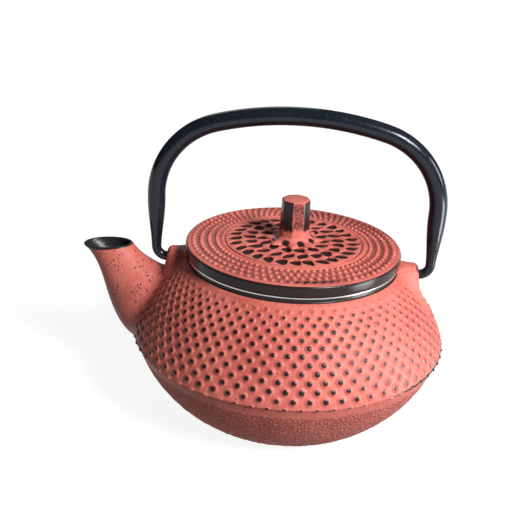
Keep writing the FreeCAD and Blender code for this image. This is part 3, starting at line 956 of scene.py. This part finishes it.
hobnails = makeNails()
print("hobnails:", len(hobnails))
joinInto(pot, [spoutCasting, rearEar, frontEar] + hobnails)
smoothPiece(pot, bowl["smoothAngle"])
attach(pot, "pot")
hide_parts("pot_body", "spout")
print("pot casting:", len(pot.data.polygons), "faces")


# bail handle: one tapered round bar with hooked ends

bail = {
    "pivot": 63.2, "leg": 57.5, "bar": 3.7, "hook": 2.0, "top": 130.0, "crown": 126.0, "corner": 32.3,
    "bend": 4.4, "hookEnd": 45.8, "taper": (65.7, 88.15), "roundness": 7, "endRound": 0.5, "smoothAngle": 50,
    "crownSteps": 16, "cornerSteps": 26, "legSteps": 18, "bendSteps": 10, "hookSteps": 5,
}


def bailLine():  # centre line from the middle of the crown to the end of a hook, as (x, z, radius)
    crown, corner, bend, leg, pivot = (bail[key] for key in ("crown", "corner", "bend", "leg", "pivot"))
    crownZ = bail["top"] - bail["bar"] - crown
    aside, between = leg - corner, crown - corner
    cornerZ = crownZ + math.sqrt(between ** 2 - aside ** 2)
    lean = math.acos(aside / between)
    line = []
    for i in range(bail["crownSteps"]):
        turn = math.pi / 2 + (lean - math.pi / 2) * i / bail["crownSteps"]
        line.append((crown * math.cos(turn), crownZ + crown * math.sin(turn)))
    for i in range(bail["cornerSteps"]):
        turn = lean * (1 - i / bail["cornerSteps"])
        line.append((aside + corner * math.cos(turn), cornerZ + corner * math.sin(turn)))
    bendZ = pivot + bend
    for i in range(bail["legSteps"]):
        line.append((leg, cornerZ + (bendZ - cornerZ) * i / bail["legSteps"]))
    for i in range(bail["bendSteps"] + 1):
        turn = math.pi / 2 * i / bail["bendSteps"]
        line.append((leg - bend * (1 - math.cos(turn)), bendZ - bend * math.sin(turn)))
    start = leg - bend
    for i in range(1, bail["hookSteps"] + 1):
        line.append((start + (bail["hookEnd"] - start) * i / bail["hookSteps"], pivot))
    thin, thick = bail["hook"], bail["bar"]
    return [(x, z, thin + (thick - thin) * ease(*bail["taper"], z)) for x, z in line]


def makeBail():
    half = bailLine()
    line = [(-x, z, size) for x, z, size in half[:0:-1]] + half
    curve = bpy.data.curves.new("bailHandle", "CURVE")
    curve.dimensions = "3D"
    curve.bevel_depth = mm
    curve.bevel_resolution = bail["roundness"]
    curve.use_fill_caps = True
    spline = curve.splines.new("POLY")
    spline.points.add(len(line) - 1)
    for point, (x, z, size) in zip(spline.points, line):
        point.co = (x * mm, 0, z * mm, 1)
        point.radius = size
    piece = bpy.data.objects.new("bailHandle", curve)
    bpy.context.scene.collection.objects.link(piece)
    makeActive(piece)
    bpy.ops.object.convert(target="MESH")
    piece = namePiece("bailHandle")
    openPiece(piece)
    mergeDoubles()
    pickEdges(piece, lambda middle, edge: edge.calc_face_angle(0) > 1.0)  # the rims of the two ends
    bpy.ops.mesh.bevel(offset=bail["endRound"] * mm, segments=3, affect="EDGES")
    closePiece()
    piece.data.materials.append(bailEnamel)
    smoothPiece(piece, bail["smoothAngle"])
    return piece


bailHandle = makeBail()
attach(bailHandle, "bail")
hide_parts("bail_handle")
print("bail handle:", len(bailHandle.data.polygons), "faces")


# lid: casting, bead rings and a lattice of drop-shaped cells

lid = {
    "bore": 2.6, "under": 70.2, "base": 68.7, "edge": 44.7, "skirtOut": 36.9, "skirtIn": 33.9,
    "skirtLow": 62.2, "top": 73.5, "seat": 74.7, "seatRadius": 9.6, "crown": 500.0, "crownSteps": 60,
    "columns": 200, "footRound": 0.8, "shoulderRound": 1.2, "grooves": (1.5, 1.3), "grooveStep": 0.53,
    "groovePitch": 3.18, "grooveWave": 0.14, "grooveSink": 0.26, "grooveFade": (2.0, 2.8), "line": 29.5,
    "lineShape": ((0.8, -0.1), (0.45, 0.14), (0.0, 0.22), (-0.45, 0.14), (-0.8, -0.1)),
    "latticeInk": 0.8, "hollowInk": 0.49, "smoothAngle": 40,
}
beads = {
    "rings": (41.5, 38.3, 35.1, 31.9), "count": 80, "wide": 1.28, "tall": 0.84, "sides": 10, "sink": 0.2,
    "fullRadius": 41.0, "growth": 0.018, "wides": (0.92, 1.06), "talls": (0.85, 1.1), "seed": 5,
    "footInk": 0.46, "rub": 0.04, "darkRub": 0.66, "darkTurn": -1.35, "darkSpread": 0.5, "darkCore": 0.1,
}
lattice = {
    "outer": 28.3, "inner": 9.2, "deep": 0.65, "proud": 0.12, "columns": 120, "bevel": 0.2, "sharpAngle": 50,
    "floorStops": (25, 22, 19, 16, 13), "stops": (12, 15, 18, 21, 24, 26.5),
    "cellRings": ((12.4, 14), (18.3, 21), (24.4, 29)), "cellLong": 3.2, "cellWide": 2.5, "cellSides": 14,
    "cellTaper": 0.28, "cellTip": 1.12, "cellTail": 0.92, "cellTall": 4.0, "cellLean": 30, "seed": 6,
    "turnPlay": 0.05, "leanPlay": 0.12, "reachPlay": 0.3, "longs": (0.84, 1.06), "slims": (0.86, 1.04),
    "ink": 0.75, "inkDepth": 0.55,
}
crownLine = arcRun((lid["edge"] - lid["shoulderRound"], lid["top"]), (lid["seatRadius"], lid["seat"]),
                   lid["crown"], lid["crownSteps"])[::-1]


def lidTop(r):  # height of the lid's plain top at a radius
    return readLine(crownLine, r)


def lidSection():  # from the bore out along the underside, round the skirt and edge, and back over the top
    edge, base, top, under, seat = (lid[key] for key in ("edge", "base", "top", "under", "seat"))
    inner, outer, low = lid["skirtIn"], lid["skirtOut"], lid["skirtLow"]
    foot, shoulder, line = lid["footRound"], lid["shoulderRound"], lid["line"]
    section = [(lid["bore"], under), (20, under), (inner - 0.6, under), (inner, under - 0.6),
               (inner, low + 0.3), (inner + 0.4, low), (outer - 0.4, low), (outer, low + 0.4), (outer, base)]
    section += arcRun((edge - foot, base), (edge, base + foot), foot, 4)
    section += [(edge, base + 1.6), (edge, base + 2.6)]
    section += arcRun((edge, top - shoulder), (edge - shoulder, top), shoulder, 6)
    # shallow grooves between the bead rings, a fine raised line, then the sunk floor of the lattice
    r = edge - lid["grooves"][0]
    fadeFrom, fadeTo = lid["grooveFade"]
    while r > line + lid["grooves"][1]:
        wave = lid["grooveWave"] * math.cos(fullTurn * (r - beads["rings"][0]) / lid["groovePitch"])
        section.append((r, lidTop(r) + (wave - lid["grooveSink"]) * ease(edge - fadeFrom, edge - fadeTo, r)))
        r -= lid["grooveStep"]
    section += [(line + aside, lidTop(line) + lift) for aside, lift in lid["lineShape"]]
    stops = (lattice["outer"] + 0.1,) + lattice["floorStops"] + (lattice["inner"] + 0.2,)
    section += [(r, lidTop(r) - lattice["deep"]) for r in stops]
    return section + [(lattice["inner"] - 0.1, seat - 0.02), (6, seat), (lid["bore"], seat), section[0]]


def isUnderLid(face):
    middle = face.center / mm
    within = math.hypot(middle.x, middle.y) < lid["skirtIn"] + 0.3
    return middle.z < lid["base"] + 0.05 or (within and middle.z < lid["under"] + 0.1)


def isLatticeFloor(point, r):
    return r < lattice["outer"] + 0.3 and point.z < lidTop(r) - 0.3


def inkOfLid(point):  # black edge, dark lattice floor and dark hollows between the beads
    r = math.hypot(point.x, point.y)
    if point.z < lid["top"] - 0.3:
        return 1.0
    if isLatticeFloor(point, r):
        return lid["latticeInk"]
    if lid["line"] + 1 < r < lid["edge"] - 2.4:
        return lid["hollowInk"]
    return 0.0


def gritOfLid(point):
    r = math.hypot(point.x, point.y)
    return float(r > lattice["inner"] and point.z > lid["base"] and isLatticeFloor(point, r))


def makeLid():
    piece = turnPiece("lidCasting", lidSection(), lid["columns"])
    paintPoints(piece, "ink", inkOfLid)
    paintPoints(piece, "grit", gritOfLid)
    coatPiece(piece, lidCoral, isUnderLid)
    return piece


def makeBeads():
    wide, tall = beads["wide"], beads["tall"]
    profile = [(wide, -0.3), (wide * 0.88, 0.12), (wide * 0.6, tall * 0.72), (wide * 0.3, tall * 0.96),
               (0, tall)]
    bead =makeStud("bead", profile, beads["sides"], lidCoral)
    pick = random.Random(beads["seed"])
    copies = []
    for row, r in enumerate(beads["rings"]):
        size = 1 + beads["growth"] * (r - beads["fullRadius"])
        top = lidTop(r)
        for index in range(beads["count"]):
            turn = fullTurn * (index + 0.5 * (row % 2)) / beads["count"]
            broad = size * pick.uniform(*beads["wides"])
            high = pick.uniform(*beads["talls"])
            place = Vector((r * math.cos(turn), r * math.sin(turn), top - beads["sink"])) * mm
            twin = copyOf(bead, Matrix.Translation(place) @ Matrix.Rotation(turn, 4, "Z")
                          @ Matrix.Diagonal((broad, broad, high, 1)))
            rub = beads["rub"]
            if row == 0:  # part of the outer ring is rubbed dark
                away = abs(turnBetween(turn, beads["darkTurn"]))
                rub += beads["darkRub"] * ease(beads["darkSpread"], beads["darkCore"], away)
            paintPoints(twin, "ink", lambda point: rub if point.z > top - 0.05 else beads["footInk"])
            copies.append(twin)
    bpy.data.objects.remove(bead)
    return copies


def makeCell():  # a drop-shaped core, tall enough to cut through the lattice
    deselectAll()
    bpy.ops.mesh.primitive_circle_add(vertices=lattice["cellSides"], radius=mm, fill_type="NGON")
    piece = namePiece("cellCore")
    work = openPiece(piece)
    for point in work.verts:
        x, y = point.co.x / mm, point.co.y / mm
        long = lattice["cellLong"] * (lattice["cellTip"] if x > 0 else lattice["cellTail"])
        slim = lattice["cellWide"] * (1 - lattice["cellTaper"] * ease(-0.2, 1.0, x))
        point.co = Vector((x * long, y * slim, 0)) * mm
    bmesh.update_edit_mesh(piece.data)
    bpy.ops.mesh.select_all(action="SELECT")
    bpy.ops.mesh.extrude_region_move(TRANSFORM_OT_translate={"value": (0, 0, lattice["cellTall"] * mm)})
    faceOutwards()
    closePiece()
    return piece


def inkOfLattice(point):  # the sides of the cells darken downwards
    depth = lidTop(math.hypot(point.x, point.y)) - point.z
    return lattice["ink"] * ease(0.0, lattice["inkDepth"], depth)


def makeLattice():
    stops = (lattice["inner"],) + lattice["stops"] + (lattice["outer"],)
    upper = [(r, lidTop(r) + lattice["proud"]) for r in stops]
    lower = [(r, lidTop(r) - lattice["deep"] - 0.2) for r in stops[::-1]]
    piece = turnPiece("lidLattice", upper + lower + [upper[0]], lattice["columns"])
    cell = makeCell()
    low = lid["top"] - lattice["cellTall"] / 2
    pick = random.Random(lattice["seed"])
    turnPlay, leanPlay, reachPlay = lattice["turnPlay"], lattice["leanPlay"], lattice["reachPlay"]
    cores = []
    for row, (r, count) in enumerate(lattice["cellRings"]):
        tilt = math.radians(-lattice["cellLean"] if row % 2 else lattice["cellLean"])
        for index in range(count):
            turn = fullTurn * (index + 0.5 * (row % 2) + pick.uniform(-turnPlay, turnPlay)) / count
            lean = turn + tilt + pick.uniform(-leanPlay, leanPlay)
            reach = r + pick.uniform(-reachPlay, reachPlay)
            long = pick.uniform(*lattice["longs"])
            slim = pick.uniform(*lattice["slims"])
            place = Vector((reach * math.cos(turn), reach * math.sin(turn), low))
            cores.append(copyOf(cell, Matrix.Translation(place * mm) @ Matrix.Rotation(lean, 4, "Z")
                                @ Matrix.Diagonal((long, slim, 1, 1))))
    cutAway(piece, joinInto(cell, cores), use_self=True)
    useModifier(piece, "BEVEL", width=lattice["bevel"] * mm, segments=2, limit_method="ANGLE",
                angle_limit=math.radians(lattice["sharpAngle"]))
    paintPoints(piece, "ink", inkOfLattice)
    piece.data.materials.append(lidCoral)
    return piece


lidCasting = makeLid()
joinInto(lidCasting, makeBeads() + [makeLattice()])
smoothPiece(lidCasting, lid["smoothAngle"])
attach(lidCasting, "lid_unit")
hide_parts("lid")
print("lid:", len(lidCasting.data.polygons), "faces")


# knob: eight-sided column on a flared foot with small petals, tenon and peened head below

knob = {
    "seat": 74.7, "height": 17.9, "base": 11.9, "top": 11.2, "sides": 8, "round": 0.8, "turn": 16.0,
    "cuts": (2, 4, 6.5, 9, 11.5, 14, 15.6), "footRadius": 8.8, "footEdge": 0.8, "footHeight": 4.6,
    "footCurve": 5.0, "tenon": 2.5, "headRadius": 4.2, "headHeight": 1.6, "columns": 64, "smoothAngle": 40,
    "faceInk": (0.95, 0.9, 0.95, 0.8, 0.95, 0.92, 0.54, 0.95), "cornerRub": 0.36, "cornerEdge": (0.8, 1.0),
    "inkTop": (0.05, 0.6), "inkFoot": (3.6, 5.2),
    "hollowInk": 0.9, "hollowReach": (6.0, 7.6), "hollowEdge": (0.25, 0.7),
    "petals": 8, "petalReach": 8.9, "petalLift": 0.3, "petalSize": (3.3, 2.3, 0.8), "petalTaper": 0.45,
}
washer = {
    "bore": 2.6, "radius": 7.0, "low": 69.0, "top": 70.2, "cutIn": 0.3, "cutUp": 0.25, "smoothAngle": 50,
}


def makeColumn():
    deselectAll()
    seat, height, sides = knob["seat"], knob["height"], knob["sides"]
    wide = knob["base"] / 2 / math.cos(math.pi / sides)
    bpy.ops.mesh.primitive_cylinder_add(
        vertices=sides, radius=wide * mm, depth=height * mm, location=(0, 0, (seat + height / 2) * mm),
        rotation=(0, 0, math.pi / sides + math.radians(knob["turn"])))
    piece = settlePiece("knobColumn")
    openPiece(piece)
    slim = knob["top"] / knob["base"]
    pickFaces(piece, lambda middle, normal: normal.z > 0.9)
    bpy.ops.transform.resize(value=(slim, slim, 1), center_override=(0, 0, (seat + height) * mm))
    pickEdges(piece, lambda middle, edge: middle.z > seat + 1)
    bpy.ops.mesh.bevel(offset=knob["round"] * mm, segments=4, profile=0.5, affect="EDGES")
    for lift in knob["cuts"]:
        cutAcross(seat + lift)
    closePiece()
    paintPoints(piece, "ink", inkOfColumn)
    return piece


def inkOfColumn(point):  # black enamel on the sides, rubbed to red along the corners, the top and the foot
    seat, top = knob["seat"], knob["seat"] + knob["height"]
    steps = (math.atan2(point.y, point.x) - math.radians(knob["turn"])) / (fullTurn / knob["sides"])
    level = knob["faceInk"][round(steps) % knob["sides"]]
    level -= knob["cornerRub"] * ease(*knob["cornerEdge"], halfway(steps))
    bare, full = knob["inkTop"]
    level *= ease(top - bare, top - full, point.z)
    bare, full = knob["inkFoot"]
    return level * ease(seat + bare, seat + full, point.z)


def makeFoot():  # with the tenon and its peened head
    seat, tenon, wide, head = (knob[key] for key in ("seat", "tenon", "footRadius", "headRadius"))
    low, top = washer["low"], seat + knob["footHeight"]
    end = low - knob["headHeight"]
    section = [(0, end), (head / 2, end), (head * 0.85, low - 0.7), (head, low), (tenon, low), (tenon, seat),
               (wide - 0.2, seat)]
    section += arcRun((wide, seat + knob["footEdge"]), (knob["base"] / 2 - 0.9, top), -knob["footCurve"], 8)
    piece = turnPiece("knobFoot", section + [(0, top)], knob["columns"])
    paintPoints(piece, "ink", inkOfFoot)
    return piece


def inkOfFoot(point):  # black in the hollows between the petals
    between = halfway(math.atan2(point.y, point.x) / (fullTurn / knob["petals"]))
    level = knob["hollowInk"] * ease(*knob["hollowReach"], math.hypot(point.x, point.y))
    return level * ease(*knob["hollowEdge"], between)


def makePetals():
    deselectAll()
    bpy.ops.mesh.primitive_uv_sphere_add(segments=16, ring_count=8, radius=mm)
    petal = namePiece("petal")
    long, wide, tall = knob["petalSize"]
    work = openPiece(petal)
    for point in work.verts:  # a plump leaf with a narrow outer end
        x, y, z = point.co / mm
        slim = 1 - knob["petalTaper"] * ease(-0.1, 1, x)
        point.co = Vector((x * long, y * wide * slim, z * tall)) * mm
    bmesh.update_edit_mesh(petal.data)
    closePiece()
    out = Matrix.Translation(Vector((knob["petalReach"], 0, knob["seat"] + knob["petalLift"])) * mm)
    copies = [copyOf(petal, Matrix.Rotation(fullTurn * index / knob["petals"], 4, "Z") @ out)
              for index in range(knob["petals"])]
    bpy.data.objects.remove(petal)
    return copies


def makeKnob():
    piece = makeColumn()
    joinInto(piece, [makeFoot()] + makePetals())
    piece.name = piece.data.name = "lidKnob"
    piece.data.materials.append(knobCoral)
    smoothPiece(piece, knob["smoothAngle"])
    return piece


def makeWasher():
    bore, wide, low, top = (washer[key] for key in ("bore", "radius", "low", "top"))
    cutIn, cutUp = washer["cutIn"], washer["cutUp"]
    piece = turnPiece("knobWasher", [
        (bore, low), (wide - cutIn, low), (wide, low + cutUp), (wide, top - cutUp), (wide - cutIn, top),
        (bore, top), (bore, low)], knob["columns"])
    piece.data.materials.append(sheetSteel)
    smoothPiece(piece, washer["smoothAngle"])
    return piece


lidKnob = makeKnob()
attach(lidKnob, "lid_unit")
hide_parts("lid_knob")
knobWasher = makeWasher()
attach(knobWasher, "lid_unit")
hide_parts("knob_washer")
print("knob and washer made")


# tea basket: flange and collar, woven wall and floor, crimped base band

basket = {
    "collarIn": 37.5, "sheet": 0.5, "collarLow": 58.0, "flange": 44.3, "flangeLow": 68.0, "flangeTop": 68.67,
    "flangeColumns": 200, "meshRadius": 37.25, "meshLow": 30.9, "meshTop": 61.5, "columns": 156, "rows": 20,
    "wireWidth": 0.55, "floor": 30.7, "floorGap": 0.2, "floorTrim": 0.9, "floorCells": 48, "floorWire": 0.38,
    "base": 30.0, "bandTop": 34.5, "bandIn": 34.5, "bandColumns": 160, "smoothAngle": 40,
}


def makeFlange():
    inner, outer = basket["collarIn"], basket["collarIn"] + basket["sheet"]
    low, high, wide, foot = (basket[key] for key in ("flangeLow", "flangeTop", "flange", "collarLow"))
    section = [(inner, foot), (outer, foot), (outer, low - 0.05), (outer + 0.1, low), (wide - 0.25, low),
               (wide - 0.05, low + 0.12), (wide, low + 0.35), (wide - 0.05, high - 0.12), (wide - 0.25, high),
               (inner + 0.6, high), (inner + 0.18, high - 0.15), (inner, high - 0.5), (inner, foot)]
    return turnPiece("basketRim", section, basket["flangeColumns"])


def weaveMesh(piece, width):
    useModifier(piece, "WIREFRAME", thickness=width * mm, use_even_offset=True, use_boundary=True)
    return piece


def makeMeshWall():
    deselectAll()
    low, high = basket["meshLow"], basket["meshTop"]
    bpy.ops.mesh.primitive_cylinder_add(
        vertices=basket["columns"], radius=basket["meshRadius"] * mm, depth=(high - low) * mm,
        end_fill_type="NOTHING", location=(0, 0, (low + high) / 2 * mm))
    piece = settlePiece("basketMesh")
    openPiece(piece)
    pickEdges(piece, lambda middle, edge: abs(edge.verts[0].co.z - edge.verts[1].co.z) > 5 * mm)  # upright
    bpy.ops.mesh.subdivide(number_cuts=basket["rows"] - 1)
    closePiece()
    return weaveMesh(piece, basket["wireWidth"])


def makeMeshFloor():
    deselectAll()
    wide, cells = basket["meshRadius"] - basket["floorGap"], basket["floorCells"]
    bpy.ops.mesh.primitive_grid_add(
        x_subdivisions=cells, y_subdivisions=cells, size=2 * wide * mm, location=(0, 0, basket["floor"] * mm))
    piece = settlePiece("basketFloor")
    openPiece(piece)
    pickFaces(piece, lambda middle, normal: math.hypot(middle.x, middle.y) > wide - basket["floorTrim"])
    bpy.ops.mesh.delete(type="FACE")
    closePiece()
    return weaveMesh(piece, basket["floorWire"])


def makeBand():
    inner, outer = basket["collarIn"], basket["collarIn"] + basket["sheet"]
    low, top, hem = basket["base"], basket["bandTop"], basket["bandIn"]
    section = [(hem, low), (outer - 0.3, low), (outer - 0.08, low + 0.1), (outer, low + 0.35), (outer, top),
               (inner, top), (inner, low + 0.5), (hem, low + 0.5), (hem, low)]
    return turnPiece("basketBand", section, basket["bandColumns"])


for piece, node, slot, material in (
        (makeFlange(), "infuser_rim", "basket_steel", sheetSteel),
        (makeMeshWall(), "infuser_wall", "basket_mesh", wireSteel),
        (makeMeshFloor(), "infuser_floor", "basket_mesh", wireSteel),
        (makeBand(), "infuser_base_band", "basket_steel", sheetSteel)):
    piece.data.materials.append(material)
    smoothPiece(piece, basket["smoothAngle"])
    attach(piece, "basket")
    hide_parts(node)
    print(piece.name, len(piece.data.polygons), "faces")


# stage: floor, world, lamps and camera

stage = {"floorSize": 9.0, "worldLight": 0.055, "floorGrey": 0.22, "glow": (0.9, 1.0), "fade": (0.2, 0.6)}


def makeFloor():  # pale to the eye and in reflections, grey to the light, so that it keeps a soft shadow
    deselectAll()
    bpy.ops.mesh.primitive_plane_add(size=stage["floorSize"])
    floor = namePiece("floor")
    material, tree, shader, place = newMaterial("paleFloor")
    tree.nodes.remove(shader)
    soft = addNode(tree, "ShaderNodeBsdfDiffuse")
    soft.inputs["Color"].default_value = (stage["floorGrey"],) * 3 + (1,)
    glow = addNode(tree, "ShaderNodeEmission")
    away = addNode(tree, "ShaderNodeVectorMath", operation="LENGTH")
    wire(tree, place, away.inputs[0])
    fade = rangeNode(tree, away.outputs["Value"], *stage["fade"], *stage["glow"])
    ray = addNode(tree, "ShaderNodeLightPath").outputs
    seen = mathNode(tree, "MAXIMUM", ray["Is Glossy Ray"], ray["Is Transmission Ray"])
    seen = mathNode(tree, "MAXIMUM", ray["Is Camera Ray"], seen)
    wire(tree, times(tree, seen, fade), glow.inputs["Strength"])
    both = addNode(tree, "ShaderNodeAddShader")
    wire(tree, soft.outputs[0], both.inputs[0])
    wire(tree, glow.outputs[0], both.inputs[1])
    wire(tree, both.outputs[0], tree.nodes["Material Output"].inputs["Surface"])
    floor.data.materials.append(material)


def makeWorld():
    world = bpy.data.worlds.new("studio")
    bpy.context.scene.world = world
    world.use_nodes = True
    tree = world.node_tree
    back = tree.nodes["Background"]
    back.inputs["Color"].default_value = (1, 1, 1, 1)
    ray = addNode(tree, "ShaderNodeLightPath").outputs
    seen = mathNode(tree, "MAXIMUM", ray["Is Camera Ray"], ray["Is Transmission Ray"])
    wire(tree, rangeNode(tree, seen, 0.0, 1.0, stage["worldLight"], 1.0), back.inputs["Strength"])


lamps = {  # place, aim, size and watts; the strip is low on the right and only shows in gloss
    "keyLamp": ((0.47, -0.5, 0.58), (0, 0, 0.06), 0.26, 9.6),
    "sideLamp": ((0.85, -0.1, 0.3), (0, 0, 0.07), 0.3, 3.4),
    "backLamp": ((-0.2, 0.8, 0.6), (0, 0, 0.08), 0.5, 1.2),
    "stripLamp": ((0.175, -0.06, 0.04), (0, 0, 0.04), 0.07, 0.24),
}


def makeLamps():
    for name, (place, aim, size, watts) in lamps.items():
        bpy.ops.object.light_add(type="AREA", location=place)
        lamp = bpy.context.object
        lamp.name = name
        lamp.data.size = size
        lamp.data.energy = watts
        lamp.visible_camera = False
        lamp.visible_diffuse = name != "stripLamp"
        lamp.rotation_euler = (Vector(place) - Vector(aim)).to_track_quat("Z", "Y").to_euler()


camera = {  # angles in degrees, lengths in mm, focal length and frame in the picture's own pixels
    "elevation": 22.68, "roll": 3.15, "azimuth": 2.79, "aside": -13.9, "upward": -7.5, "distance": 340.0,
    "aim": 73.5, "focal": 816.0, "frame": 520.0, "sensor": 36.0, "nearest": 5.0,
}


def makeCamera():
    lift, roll, turn = (math.radians(camera[key]) for key in ("elevation", "roll", "azimuth"))
    back = Vector((math.sin(turn) * math.cos(lift), -math.cos(turn) * math.cos(lift), math.sin(lift)))
    level = Vector((math.cos(turn), math.sin(turn), 0))
    rise = back.cross(level)
    right = level * math.cos(roll) + rise * math.sin(roll)
    up = rise * math.cos(roll) - level * math.sin(roll)
    place = back * camera["distance"] + right * camera["aside"] + up * camera["upward"]
    place.z += camera["aim"]
    bpy.ops.object.camera_add()
    eye = bpy.context.object
    eye.name = "photoCamera"
    axes = Matrix((right, up, back)).transposed().to_4x4()
    eye.matrix_world = Matrix.Translation(place * mm) @ axes
    eye.data.sensor_width = camera["sensor"]
    eye.data.lens = camera["sensor"] * camera["focal"] / camera["frame"]
    eye.data.clip_start = camera["nearest"] * mm
    bpy.context.scene.camera = eye


deselectAll()
makeFloor()
makeWorld()
makeLamps()
makeCamera()
bpy.context.scene.view_settings.view_transform = "Standard"
print("stage made")
